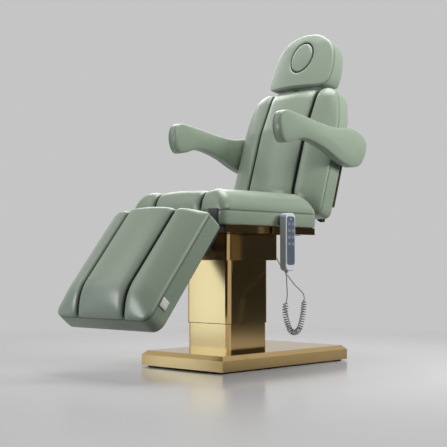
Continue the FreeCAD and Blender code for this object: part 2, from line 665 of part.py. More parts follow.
def drive_rod(pivot, eye, eye_r, tail):
    axis = drive_axis(pivot, eye)
    shaft = rod(pivot + axis * tail, eye - axis * (eye_r + 3), 10 - RUNNING)
    ring = disc(eye, eye_r + 6, ACTUATOR_Y - 7, ACTUATOR_Y + 7)
    return joined([shaft, ring]).cut(disc(eye, eye_r, ACTUATOR_Y - 8, ACTUATOR_Y + 8))


save("back_drive_body", drive_body(BACK_DRIVE, BACK_EYE, 222))
save("back_drive_rod", drive_rod(BACK_DRIVE, BACK_EYE, BACK_EYE_R, 150))
save("leg_drive_body", drive_body(LEG_DRIVE, LEG_EYE, 200))
save("leg_drive_rod", drive_rod(LEG_DRIVE, LEG_EYE, LEG_EYE_R, 70))


# Handset with its keys, the hook that holds it, and its curly cord

KEY_ROWS = (612.0, 584.0, 556.0, 528.0)
KEY_COLUMNS = (HANDSET_X - 12.5, HANDSET_X + 12.5)
HANDSET_X0, HANDSET_X1 = HANDSET_X - HANDSET_WIDTH / 2, HANDSET_X + HANDSET_WIDTH / 2
LUG_Z0, LUG_Z1 = 613.0, 640.0
RELIEF_X, RELIEF_Y, RELIEF_Z = 84.0, -312.0, 396.0


def key_cap(x, z, grow, y0, y1):
    return rounded_block(x - 9 - grow, x + 9 + grow, y0, y1, z - 6 - grow, z + 6 + grow, 4 + grow, ACROSS)


def handset_body():
    shell = block(HANDSET_X0, HANDSET_X1, HANDSET_Y0, HANDSET_Y1, HANDSET_Z0, HANDSET_Z1)
    low = [e for e in edges_along(shell, ACROSS) if e.Vertexes[0].Z < HANDSET_Z0 + 1]
    high = [e for e in edges_along(shell, ACROSS) if e.Vertexes[0].Z > HANDSET_Z1 - 1]
    shell = shell.makeFillet(22, low).makeFillet(18, high)
    rims = [e for e in shell.Edges if max(v.Y for v in e.Vertexes) - min(v.Y for v in e.Vertexes) < 0.01]
    shell = shell.makeFillet(5, rims)
    lug = block(HANDSET_X - 14.5, HANDSET_X + 14.5, HANDSET_Y1, -286.5, LUG_Z0, LUG_Z1)
    slot = block(HANDSET_X - 11.5, HANDSET_X + 11.5, -290.5, -287.5, LUG_Z0 - 1, LUG_Z0 + 20)
    relief = Part.makeCone(4.0, 6.5, HANDSET_Z0 + 1 - RELIEF_Z, V(RELIEF_X, RELIEF_Y, RELIEF_Z), UP)
    body = joined([shell, lug.cut(slot), relief])
    body = body.cut(keypad(0.0))
    pockets = [key_cap(x, z, 0.4, HANDSET_Y0 - 1, HANDSET_Y0 + 5) for x in KEY_COLUMNS for z in KEY_ROWS]
    return body.cut(Part.makeCompound(pockets))


def keypad(proud):
    """The panel set into the handset's face, standing proud of it by the given height."""
    return rounded_block(HANDSET_X0 + 6, HANDSET_X1 - 6, HANDSET_Y0 - proud, HANDSET_Y0 + 1.2,
                         HANDSET_Z0 + 26, HANDSET_Z1 - 14, 12, ACROSS)


def keypad_panel():
    windows = [key_cap(x, z, 0.4, HANDSET_Y0 - 2, HANDSET_Y0 + 2) for x in KEY_COLUMNS for z in KEY_ROWS]
    return keypad(0.3).cut(Part.makeCompound(windows))


def handset_hook():
    x0, x1 = HANDSET_X - 8, HANDSET_X + 8
    leg = block(x0, x1, -282.5, -RAIL_IN, FRAME_Z0 - 3, FRAME_Z0)
    plate = block(x0, x1, -285.5, -282.5, FRAME_Z0 - 3, 611)
    arm = block(x0, x1, -290, -285.5, 606, 611)
    tongue = block(x0, x1, -290, -288, 611, 631)
    return joined([plate, leg, arm, tongue])


save("handset_hook", handset_hook())
save("handset_body", handset_body())
save("handset_keypad", keypad_panel())
for row, z in enumerate(KEY_ROWS):
    for column, x in enumerate(KEY_COLUMNS):
        save("key_" + str(2 * row + column + 1), key_cap(x, z, 0, HANDSET_Y0 - 1.8, HANDSET_Y0 + 3.5))


# The cord's route, from the handset's strain relief to its plug under the control box

LEAD_ROUTE = [(84, -312, 396), (84, -312, 366), (89, -311, 336), (91, -310, 308), (86, -309, 284)]
CURL_ROUTE = [(86, -309, 284), (77, -308, 256), (81, -308, 222), (97, -308, 187), (109, -308, 166),
              (129, -308, 154), (152, -308, 154), (173, -308, 166), (185, -308, 188),
              (196, -308, 222), (203, -308, 256), (208, -307, 291)]
RETURN_ROUTE = [(208, -307, 291), (213, -302, 312), (214, -282, 330), (215, -252, 350), (219, -220, 378),
                (224, -189, 407), (226, -161, 435), (232, -138, 459), (245, -115, 486),
                (261, -95, 513), (275, -80, 538), (280, -75, 563)]
PLUG_R, PLUG_TOP = 6.5, 577.0


def cord_tube(name, route, radius):
    """A round tube of straight runs joined by tangent arcs as large as the runs allow."""
    points = [V(*p) for p in route]
    here, edges, radii = points[0], [], []
    for before, corner, after in zip(points, points[1:], points[2:]):
        incoming = (corner - before).normalize()
        outgoing = (after - corner).normalize()
        half_turn = incoming.getAngle(outgoing) / 2
        setback = 0.45 * min((corner - before).Length, (after - corner).Length)
        bend = setback / math.tan(half_turn)
        start, end = corner - incoming * setback, corner + outgoing * setback
        inward = (outgoing - incoming).normalize()
        middle = corner + inward * (bend / math.cos(half_turn) - bend)
        edges += [Part.LineSegment(here, start).toShape(), Part.Arc(start, middle, end).toShape()]
        here = end
        radii.append(round(bend))
    edges.append(Part.LineSegment(here, points[-1]).toShape())
    path = Part.Wire(edges)
    ring = Part.Wire([Part.makeCircle(radius, points[0], points[1] - points[0])])
    tube = path.makePipeShell([ring], True, False)
    wanted = math.pi * radius ** 2 * path.Length
    print(name, "length", round(path.Length), "radii", radii, "volume ratio", round(tube.Volume / wanted, 3))
    return tube


save("cord_lead", cord_tube("cord_lead", LEAD_ROUTE, CORD_R))
save("cord_curl", cord_tube("cord_curl", CURL_ROUTE, CURL_R))
save("cord_return", cord_tube("cord_return", RETURN_ROUTE, CORD_R))
plug_foot = V(*RETURN_ROUTE[-1])
save("cord_plug", rod(plug_foot, V(plug_foot.x, plug_foot.y, PLUG_TOP), PLUG_R))

for label, point in (("leg_pivot", LEG_PIVOT), ("back_pivot", BACK_PIVOT), ("head_pivot", HEAD_PIVOT),
                     ("arm_pivot", ARM_PIVOT), ("back_drive", BACK_DRIVE), ("back_eye", BACK_EYE),
                     ("leg_drive", LEG_DRIVE), ("leg_eye", LEG_EYE)):
    print(label, [round(c, 2) for c in point - V(ORIGIN_X, 0, 0)])
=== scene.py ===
import math

import bmesh
import bpy
import numpy as np
from mathutils import Matrix, Vector


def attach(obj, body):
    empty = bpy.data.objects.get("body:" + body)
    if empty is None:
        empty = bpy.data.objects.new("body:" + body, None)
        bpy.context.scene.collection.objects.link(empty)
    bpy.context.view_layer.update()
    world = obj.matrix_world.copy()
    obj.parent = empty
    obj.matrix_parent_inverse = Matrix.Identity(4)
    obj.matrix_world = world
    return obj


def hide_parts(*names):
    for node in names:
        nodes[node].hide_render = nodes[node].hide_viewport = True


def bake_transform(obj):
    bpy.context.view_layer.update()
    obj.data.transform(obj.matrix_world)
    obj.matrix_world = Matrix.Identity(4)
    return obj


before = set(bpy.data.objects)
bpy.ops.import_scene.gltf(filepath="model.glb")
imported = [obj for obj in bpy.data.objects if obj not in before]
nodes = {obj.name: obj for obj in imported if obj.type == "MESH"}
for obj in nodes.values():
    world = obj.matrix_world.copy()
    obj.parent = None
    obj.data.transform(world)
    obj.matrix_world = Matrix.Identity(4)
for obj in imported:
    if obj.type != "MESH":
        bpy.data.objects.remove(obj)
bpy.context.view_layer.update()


# The camera stands at hip height off the couch's front left corner and looks slightly up.
# A long lens keeps the seat, the column and the base nearly free of perspective.
CAMERA_AT = (-3.2503, -3.0676, 0.4474)
YAW, RISE = math.radians(43.244), math.radians(2.222)
SENSOR, LENS = 36.0, 82.3


def placed(name, data):
    """A new object of this data, put into the scene."""
    made = bpy.data.objects.new(name, data)
    bpy.context.collection.objects.link(made)
    return made


sight = Vector((math.cos(RISE) * math.cos(YAW), math.cos(RISE) * math.sin(YAW), math.sin(RISE)))
camera = placed("camera", bpy.data.cameras.new("camera"))
camera.data.sensor_width = SENSOR
camera.data.lens = LENS
camera.location = CAMERA_AT
camera.rotation_euler = sight.to_track_quat("-Z", "Y").to_euler()
bpy.context.scene.camera = camera


# The handset's cord is a light grey plastic lead, 4 mm thick, wound into springy coils over
# its lower part. It leaves the handset's strain relief, hangs in a loop, and climbs behind
# the column's sleeve to a plug under the control box.
CORD_R = 0.002
COIL_R = 0.0105             # from the coil's axis to the middle of the lead
COIL_PITCH = 0.0105
COIL_STEPS = 16             # points in one turn
COIL_EASE = 0.012           # length over which the coil opens and closes
AXIS_STEPS = 12             # points from one of the coil's route points to the next
LINE_STEPS = 3              # points from one of the whole cord's points to the next
LEAD_ROUTE = [(0.067, -0.312, 0.396), (0.067, -0.312, 0.366), (0.072, -0.311, 0.336),
              (0.074, -0.310, 0.308), (0.069, -0.309, 0.284)]
CURL_ROUTE = [(0.069, -0.309, 0.284), (0.060, -0.308, 0.256), (0.064, -0.308, 0.222),
              (0.080, -0.308, 0.187), (0.092, -0.308, 0.166), (0.112, -0.308, 0.154),
              (0.135, -0.308, 0.154), (0.156, -0.308, 0.166), (0.168, -0.308, 0.188),
              (0.179, -0.308, 0.222), (0.186, -0.308, 0.256), (0.191, -0.307, 0.291)]
RETURN_ROUTE = [(0.191, -0.307, 0.291), (0.196, -0.302, 0.312), (0.197, -0.282, 0.330),
                (0.198, -0.252, 0.350), (0.202, -0.220, 0.378), (0.207, -0.189, 0.407),
                (0.209, -0.161, 0.435), (0.215, -0.138, 0.459), (0.228, -0.115, 0.486),
                (0.244, -0.095, 0.513), (0.258, -0.080, 0.538), (0.263, -0.075, 0.563)]


def smooth_curve(name, points, thickness, steps):
    """A smooth curve with the route's points as its control points."""
    curve = bpy.data.curves.new(name, "CURVE")
    curve.dimensions = "3D"
    curve.bevel_depth = thickness
    curve.bevel_resolution = 3
    curve.use_fill_caps = thickness > 0
    curve.resolution_u = steps
    spline = curve.splines.new("NURBS")
    spline.points.add(len(points) - 1)
    for control, point in zip(spline.points, points):
        control.co = (*point, 1)
    spline.order_u = 3
    spline.use_endpoint_u = True
    return curve


def curve_mesh(curve):
    """The curve as a mesh: its line where it has no thickness, or its tube."""
    carrier = placed(curve.name, curve)
    bpy.context.view_layer.update()
    drawn = carrier.evaluated_get(bpy.context.evaluated_depsgraph_get())
    mesh = bpy.data.meshes.new_from_object(drawn)
    bpy.data.objects.remove(carrier)
    return mesh


def spots_of(mesh):
    return np.array([v.co for v in mesh.vertices])


def line_points(points, steps):
    return spots_of(curve_mesh(smooth_curve("route", points, 0, steps)))


def coil_points(axis_points):
    """Points of a helix round the axis, spread evenly by length, closing to the axis at both ends."""
    runs = np.linalg.norm(np.diff(axis_points, axis=0), axis=1)
    along = np.concatenate([[0], np.cumsum(runs)])
    count = int(along[-1] / COIL_PITCH * COIL_STEPS)
    places = np.linspace(0, along[-1], count)
    centres = np.stack([np.interp(places, along, axis_points[:, k]) for k in range(3)], axis=1)
    ahead = np.gradient(centres, axis=0)
    ahead /= np.linalg.norm(ahead, axis=1)[:, None]
    outward = np.cross((0.0, 1.0, 0.0), ahead)
    outward /= np.linalg.norm(outward, axis=1)[:, None]
    second = np.cross(ahead, outward)
    turn = 2 * np.pi * np.arange(count) / COIL_STEPS
    open_share = np.clip(np.minimum(places, along[-1] - places) / COIL_EASE, 0, 1)
    swing = outward * np.cos(turn)[:, None] + second * np.sin(turn)[:, None]
    return centres + swing * (COIL_R * open_share)[:, None]


def shade(mesh, smooth):
    """Shades the faces as one curved surface, or each one flat."""
    mesh.polygons.foreach_set("use_smooth", [smooth] * len(mesh.polygons))


coil = coil_points(line_points(CURL_ROUTE, AXIS_STEPS))
cord_route = LEAD_ROUTE[:-1] + [tuple(point) for point in coil] + RETURN_ROUTE[1:]
cord_line = line_points(cord_route, LINE_STEPS)
cord_tube = curve_mesh(smooth_curve("handset_cord", cord_route, CORD_R, LINE_STEPS))
handset_cord = placed("handset_cord", cord_tube)
shade(cord_tube, True)


def surface_effect(name, fleck_detail, drawn_out=None):
    """A node group with a broad uneven tone and a fine height, which can be drawn out into lines."""
    group = bpy.data.node_groups.new(name, "ShaderNodeTree")
    for socket in ("Patch Scale", "Fleck Scale"):
        group.interface.new_socket(socket, in_out="INPUT", socket_type="NodeSocketFloat")
    for socket in ("Tone", "Height"):
        group.interface.new_socket(socket, in_out="OUTPUT", socket_type="NodeSocketFloat")
    entry = group.nodes.new("NodeGroupInput")
    leave = group.nodes.new("NodeGroupOutput")
    where = group.nodes.new("ShaderNodeTexCoord")
    patches = group.nodes.new("ShaderNodeTexNoise")
    flecks = group.nodes.new("ShaderNodeTexNoise")
    flecks.inputs["Detail"].default_value = fleck_detail
    fleck_place = where.outputs["Object"]
    if drawn_out:
        stretch = group.nodes.new("ShaderNodeMapping")
        stretch.inputs["Scale"].default_value = drawn_out
        group.links.new(fleck_place, stretch.inputs["Vector"])
        fleck_place = stretch.outputs["Vector"]
    group.links.new(where.outputs["Object"], patches.inputs["Vector"])
    group.links.new(fleck_place, flecks.inputs["Vector"])
    group.links.new(entry.outputs["Patch Scale"], patches.inputs["Scale"])
    group.links.new(entry.outputs["Fleck Scale"], flecks.inputs["Scale"])
    group.links.new(patches.outputs["Fac"], leave.inputs["Tone"])
    group.links.new(flecks.outputs["Fac"], leave.inputs["Height"])
    return group


mottle = surface_effect("mottle", fleck_detail=0)
RELIEF_STRENGTH = 0.5


def finish_material(name, dark, light, smooth, rough, grain,
                    metal=0.0, patch=9.0, fleck=900.0, effect=mottle):
    """A material between two tones and two roughnesses, with a fine relief of grain metres."""
    material = bpy.data.materials.new(name)
    material.use_nodes = True
    tree = material.node_tree
    shader = tree.nodes["Principled BSDF"]
    shader.inputs["Metallic"].default_value = metal
    surface = tree.nodes.new("ShaderNodeGroup")
    surface.node_tree = effect
    surface.inputs["Patch Scale"].default_value = patch
    surface.inputs["Fleck Scale"].default_value = fleck
    tone = tree.nodes.new("ShaderNodeMix")
    tone.data_type = "RGBA"
    tone.inputs["A"].default_value = (*dark, 1)
    tone.inputs["B"].default_value = (*light, 1)
    polish = tree.nodes.new("ShaderNodeMapRange")
    polish.inputs["To Min"].default_value = smooth
    polish.inputs["To Max"].default_value = rough
    relief = tree.nodes.new("ShaderNodeBump")
    relief.inputs["Strength"].default_value = RELIEF_STRENGTH
    relief.inputs["Distance"].default_value = grain
    tree.links.new(surface.outputs["Tone"], tone.inputs["Factor"])
    tree.links.new(tone.outputs["Result"], shader.inputs["Base Color"])
    tree.links.new(surface.outputs["Tone"], polish.inputs["Value"])
    tree.links.new(polish.outputs["Result"], shader.inputs["Roughness"])
    tree.links.new(surface.outputs["Height"], relief.inputs["Height"])
    tree.links.new(relief.outputs["Normal"], shader.inputs["Normal"])
    return material


cord_plastic = finish_material("cord_plastic", dark=(0.12, 0.13, 0.15), light=(0.20, 0.21, 0.24),
                               smooth=0.24, rough=0.34, grain=0.0002)
cord_tube.materials.append(cord_plastic)
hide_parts("cord_lead", "cord_curl", "cord_return")
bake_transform(handset_cord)


# The base is a steel plate and tube frame under a folded sheet cover, lacquered in champagne
# gold, on rubber feet. The mains socket is set in the cover's rear wall.
UPRIGHT_LINES = (1, 1, 0.02)    # flecks drawn out fifty times along Z
COVER_FOLD, CUT_EDGE = 0.002, 0.0006


def dress(material, *names):
    """Gives these nodes their material."""
    for name in names:
        nodes[name].data.materials.clear()
        nodes[name].data.materials.append(material)


def soften(width, *names):
    """Rounds the sharp edges of these nodes a little, as folded, cast and moulded edges are."""
    for name in names:
        edge = nodes[name].modifiers.new("made_edge", "BEVEL")
        edge.width = width
        edge.segments = 2
        edge.limit_method = "ANGLE"
        edge.angle_limit = math.radians(40)


brushed_lines = surface_effect("brushed_lines", fleck_detail=0, drawn_out=UPRIGHT_LINES)
gold_lacquer = finish_material("gold_lacquer", dark=(0.66, 0.45, 0.19), light=(0.76, 0.54, 0.25),
                               smooth=0.12, rough=0.18, grain=0.00002,
                               metal=1.0, patch=3.0, fleck=500.0, effect=brushed_lines)
black_steel = finish_material("black_steel", dark=(0.012, 0.012, 0.012), light=(0.03, 0.03, 0.03),
                              smooth=0.38, rough=0.55, grain=0.0002)
black_rubber = finish_material("black_rubber", dark=(0.01, 0.01, 0.01), light=(0.025, 0.025, 0.025),
                               smooth=0.6, rough=0.8, grain=0.0003)
black_moulding = finish_material("black_moulding", dark=(0.02, 0.02, 0.022), light=(0.04, 0.04, 0.043),
                                 smooth=0.4, rough=0.6, grain=0.0003)
dress(gold_lacquer, "base_cover")
dress(black_steel, "base_plate", "base_frame")
dress(black_rubber, "base_feet")
dress(black_moulding, "mains_inlet")
soften(COVER_FOLD, "base_cover")
soften(CUT_EDGE, "mains_inlet", "base_plate")


# The column is two square gold tubes, the upper one sliding over the lower, with a black wiper
# at the joint. A bright steel guide and the lifting motor are inside, and a wide sleeve hides
# the plate that carries the seat.
TUBE_EDGE = 0.0008
bright_steel = finish_material("bright_steel", dark=(0.42, 0.42, 0.43), light=(0.58, 0.58, 0.59),
                               smooth=0.18, rough=0.32, grain=0.00005, metal=1.0, effect=brushed_lines)
glide_plastic = finish_material("glide_plastic", dark=(0.70, 0.69, 0.65), light=(0.82, 0.81, 0.77),
                                smooth=0.4, rough=0.55, grain=0.0002)
dress(gold_lacquer, "column_lower_tube", "column_upper_tube", "column_sleeve")
dress(black_rubber, "column_wiper")
dress(bright_steel, "guide_post", "carriage_tube", "lift_rod")
dress(glide_plastic, "guide_pads_fixed", "guide_pads_moving")
dress(black_moulding, "lift_actuator")
dress(black_steel, "carriage_plate")
soften(TUBE_EDGE, "column_lower_tube", "column_upper_tube", "column_sleeve")


# The seat frame is gold square tube with cross members and hinge brackets at its ends. The
# control box, the drives with their mounts and the handset's hook are fixed under it.
RAIL_EDGE, HOOK_EDGE = 0.0015, 0.0008
dress(gold_lacquer, "seat_rails", "seat_cross_members")
dress(black_steel, "back_hinges", "leg_hinge", "drive_mounts", "handset_hook")
dress(black_moulding, "control_box", "cord_plug", "back_drive_body", "leg_drive_body")
dress(bright_steel, "back_drive_rod", "leg_drive_rod")
soften(RAIL_EDGE, "seat_rails", "control_box")
soften(HOOK_EDGE, "handset_hook")


# The seat pad is foam on a dark board, under sage green leatherette: a flat side band, a seam,
# and a domed top panel that is sewn down along two channels, so that it swells into three
# rolls. Two thin black steel plates lie against its front band, above the leg rest's hinge; they
# stand for the hinge hardware and also give the painted shade of the gap between leg rest and seat.
# Painted shade: the cover's colour is darkened in its seams and channels, where shade falls.
CREASE_SHADE_TONE = (0.010, 0.014, 0.010, 1)
leatherette_grain = surface_effect("leatherette_grain", fleck_detail=1)
sage_leatherette = finish_material("sage_leatherette", dark=(0.225, 0.28, 0.21), light=(0.26, 0.32, 0.246),
                                   smooth=0.24, rough=0.32, grain=0.0003,
                                   patch=2.5, fleck=420.0, effect=leatherette_grain)


def darken_creases(material):
    """Paints shade into the cover's colour, and makes it dull, where it is pulled down into a seam or
    channel.
    """
    tree = material.node_tree
    shader = tree.nodes["Principled BSDF"]
    tone = shader.inputs["Base Color"].links[0].from_socket
    polish = shader.inputs["Roughness"].links[0].from_socket
    crease_shade = tree.nodes.new("ShaderNodeAttribute")
    crease_shade.attribute_name = "crease_shade"
    shadow = tree.nodes.new("ShaderNodeMix")
    shadow.data_type = "RGBA"
    shadow.inputs["B"].default_value = CREASE_SHADE_TONE
    tree.links.new(crease_shade.outputs["Fac"], shadow.inputs["Factor"])
    tree.links.new(tone, shadow.inputs["A"])
    tree.links.new(shadow.outputs["Result"], shader.inputs["Base Color"])
    dull = tree.nodes.new("ShaderNodeMix")
    dull.inputs["B"].default_value = 1.0
    tree.links.new(crease_shade.outputs["Fac"], dull.inputs["Factor"])
    tree.links.new(polish, dull.inputs["A"])
    tree.links.new(dull.outputs["Result"], shader.inputs["Roughness"])


darken_creases(sage_leatherette)
leatherette_shader = sage_leatherette.node_tree.nodes["Principled BSDF"]
leatherette_shader.inputs["Sheen Weight"].default_value = 0.08
leatherette_shader.inputs["Sheen Roughness"].default_value = 0.4
leatherette_shader.inputs["Coat Weight"].default_value = 0.15
leatherette_shader.inputs["Coat Roughness"].default_value = 0.3
board_facing = finish_material("board_facing", dark=(0.035, 0.024, 0.016), light=(0.06, 0.042, 0.028),
                               smooth=0.45, rough=0.6, grain=0.0003)
dress(board_facing, "seat_board")

PAD_HALF = 0.280
CHANNEL = 0.137             # the channels run this far each side of the middle
CHANNELS = (-CHANNEL, CHANNEL)
GRID_STEP = 0.009
EDGE_STEPS = np.array([0, 0.001, 0.0025, 0.005, 0.009, 0.014, 0.021, 0.03])
CHANNEL_STEPS = np.array([-0.018, -0.011, -0.007, -0.004, -0.002, 0, 0.002, 0.004, 0.007, 0.011, 0.018])
PANEL_CROWN = 0.009         # each panel stands this much fuller between its channels
LIP_REACH = 1.4             # the width of a lip for its height
FORM_REACH = 0.040          # the panel takes up its full form over this distance from the seam
SEAM_DEPTH = 0.003
STITCHES_DOWN = 0.0015      # the stitches lie this far below the panel's edge
BAND_DOWN = 0.004           # and the top of the side band this far
BAND_BULGE = 0.001
BAND_FOOT = ((0, 0.010), (0.002, 0.003), (0.007, 0))    # inset and height where the band is tucked in
SEAM_HELD, CHANNEL_HELD = 0.004, 0.005                  # nearer than this the cover is held down
CHANNEL_DEPTH, CHANNEL_WIDTH = 0.018, 0.005
DIP_DEPTH, DIP_WIDTH = 0.4 * CHANNEL_DEPTH, 0.018       # the softer hollow along each channel
# painted shade along the channels and on the seam rings
CREASE_SHADE_AMOUNT, CREASE_SHADE_WIDTH = 1.5, 0.006
SEAM_SHADE, FINE_SEAM_SHADE = 0.9, 0.4
PAD_SWELL = 0.008
COVER_FRAMES = 20           # steps in which the cover is blown up


def rolled(distance, reach):
    """Share of the full height at a distance from an edge that is rolled over this reach."""
    share = np.clip(distance / reach, 0, 1)
    return np.sqrt(1 - (1 - share) ** 2)


def bell(distance, width):
    """1 along the middle of a groove, falling to 0 on both sides of it."""
    return np.exp(-(distance / width) ** 2)


def panel_crown(y):
    """How much a panel swells at this place between the channels, or between a channel and the side."""
    middle = 1 - (y / CHANNEL) ** 2
    flank = (np.abs(y) - (PAD_HALF + CHANNEL) / 2) / ((PAD_HALF - CHANNEL) / 2)
    return PANEL_CROWN * np.maximum(np.where(np.abs(y) < CHANNEL, middle, 1 - flank ** 2), 0)


def even_steps(start, end):
    return np.linspace(start, end, max(2, int(round((end - start) / GRID_STEP)) + 1))


def stations_between(start, end):
    """Places along a pad, close together at both ends."""
    reach = EDGE_STEPS[-1]
    middle = even_steps(start + reach, end - reach)
    return np.concatenate([start + EDGE_STEPS[:-1], middle, end - EDGE_STEPS[-2::-1]])


def channelled_lanes(widths):
    """Lanes along a pad with two channels: straight in the middle, following its sides outside that."""
    fixed = CHANNEL + CHANNEL_STEPS[-1]
    outer = PAD_HALF - EDGE_STEPS[-1]
    half = np.concatenate([even_steps(0, CHANNEL + CHANNEL_STEPS[0])[:-1], CHANNEL + CHANNEL_STEPS,
                           even_steps(fixed, outer)[1:], PAD_HALF - EDGE_STEPS[-2::-1]])
    full = np.concatenate([-half[:0:-1], half])
    stretch = (widths - fixed) / (PAD_HALF - fixed)
    outside = np.maximum(np.abs(full) - fixed, 0)
    return np.sign(full)[None] * (np.minimum(np.abs(full), fixed)[None] + outside[None] * stretch[:, None])


def corner_cut(from_end, radius):
    """Width that a rounded corner takes away at this distance from the pad's end."""
    into_corner = np.clip(radius - from_end, 0, radius)
    return radius - np.sqrt(radius ** 2 - into_corner ** 2)


def rounded_half(stations, first, last):
    """Half the width along a pad whose corners are rounded at its first and last ends."""
    return PAD_HALF - corner_cut(stations - stations[0], first) - corner_cut(stations[-1] - stations, last)


def distance_inside(points, outline):
    """How far each plan point lies from the outline's nearest run, and which run that is."""
    runs = np.roll(outline, -1, axis=0) - outline
    squares = np.maximum((runs ** 2).sum(1), 1e-12)
    offsets = points[:, None, :] - outline[None]
    share = np.clip((offsets * runs[None]).sum(2) / squares[None], 0, 1)
    apart = ((offsets - share[..., None] * runs[None]) ** 2).sum(2)
    return np.sqrt(apart.min(1)), apart.argmin(1)


def inward_of(outline):
    """The direction into a closed plan outline at each of its points."""
    tangent = np.roll(outline, -1, axis=0) - np.roll(outline, 1, axis=0)
    tangent /= np.maximum(np.linalg.norm(tangent, axis=1), 1e-9)[:, None]
    inward = np.column_stack([-tangent[:, 1], tangent[:, 0]])
    if ((outline.mean(0) - outline) * inward).sum() < 0:
        inward = -inward
    return inward


def grid_faces(index):
    """Faces between the rows and columns of a grid of points."""
    rows, columns = index.shape
    return [(index[i, j], index[i, j + 1], index[i + 1, j + 1], index[i + 1, j])
            for i in range(rows - 1) for j in range(columns - 1)]


def band_faces(ring, other):
    """Faces between two rings of as many points."""
    return list(zip(np.roll(ring, -1), ring, other, np.roll(other, -1)))


def strips_across(ring):
    """Faces that close a flat ring, each reaching straight across it."""
    last = len(ring) - 1
    faces = [(ring[k], ring[k + 1], ring[last - k - 1], ring[last - k]) for k in range(len(ring) // 2 - 1)]
    if len(ring) % 2:
        middle = len(ring) // 2
        faces.append((ring[middle - 1], ring[middle], ring[middle + 1]))
    return faces


def piece(name, points, faces, material=sage_leatherette, smooth=True):
    """A piece of upholstery or trim from its points and faces."""
    mesh = bpy.data.meshes.new(name)
    mesh.from_pydata(points.tolist(), [], [tuple(int(k) for k in face) for face in faces])
    shell = bmesh.new()
    shell.from_mesh(mesh)
    bmesh.ops.recalc_face_normals(shell, faces=shell.faces)
    shell.to_mesh(mesh)
    shell.free()
    shade(mesh, smooth)
    mesh.materials.append(material)
    return placed(name, mesh)


def move_points(pad, spots):
    pad.data.vertices.foreach_set("co", spots.ravel())
    pad.data.update()


def swell_cover(pad, free, swell):
    """Blows the cover up over the foam between its seams and channels, by no more than the swell."""
    sewn = pad.vertex_groups.new(name="sewn")
    sewn.add([int(k) for k in np.flatnonzero(~free)], 1.0, "REPLACE")
    rest = spots_of(pad.data)
    cover = pad.modifiers.new("cover", "CLOTH")
    cover.settings.quality = 5
    cover.settings.mass = 0.4
    cover.settings.tension_stiffness = 40
    cover.settings.compression_stiffness = 40
    cover.settings.shear_stiffness = 20
    cover.settings.bending_stiffness = 2
    cover.settings.use_pressure = True
    cover.settings.uniform_pressure_force = 4
    cover.settings.vertex_group_mass = "sewn"
    cover.settings.effector_weights.gravity = 0
    cover.point_cache.frame_start = 1
    cover.point_cache.frame_end = COVER_FRAMES
    for step in range(1, COVER_FRAMES + 1):
        bpy.context.scene.frame_set(step)
    blown = pad.evaluated_get(bpy.context.evaluated_depsgraph_get())
    move = spots_of(blown.data) - rest
    pad.modifiers.remove(cover)
    bpy.context.scene.frame_set(1)
    reach = np.linalg.norm(move, axis=1)
    move *= np.minimum(1, swell / np.maximum(reach, 1e-9))[:, None]
    move_points(pad, rest + move)


def press_in(pad, depths):
    """Presses the cover in along its own normals."""
    normals = np.array([v.normal for v in pad.data.vertices])
    move_points(pad, spots_of(pad.data) - normals * depths[:, None])


def mark_creases(pad, amounts):
    """Writes how much painted shade each point gets in a seam or channel, from 0 to 1."""
    crease_shade = pad.data.attributes.new("crease_shade", "FLOAT", "POINT")
    crease_shade.data.foreach_set("value", np.clip(amounts, 0, 1))


def round_off(pad):
    """Lets the cover run smoothly from point to point."""
    smooth = pad.modifiers.new("upholstery", "SUBSURF")
    smooth.levels = smooth.render_levels = 1


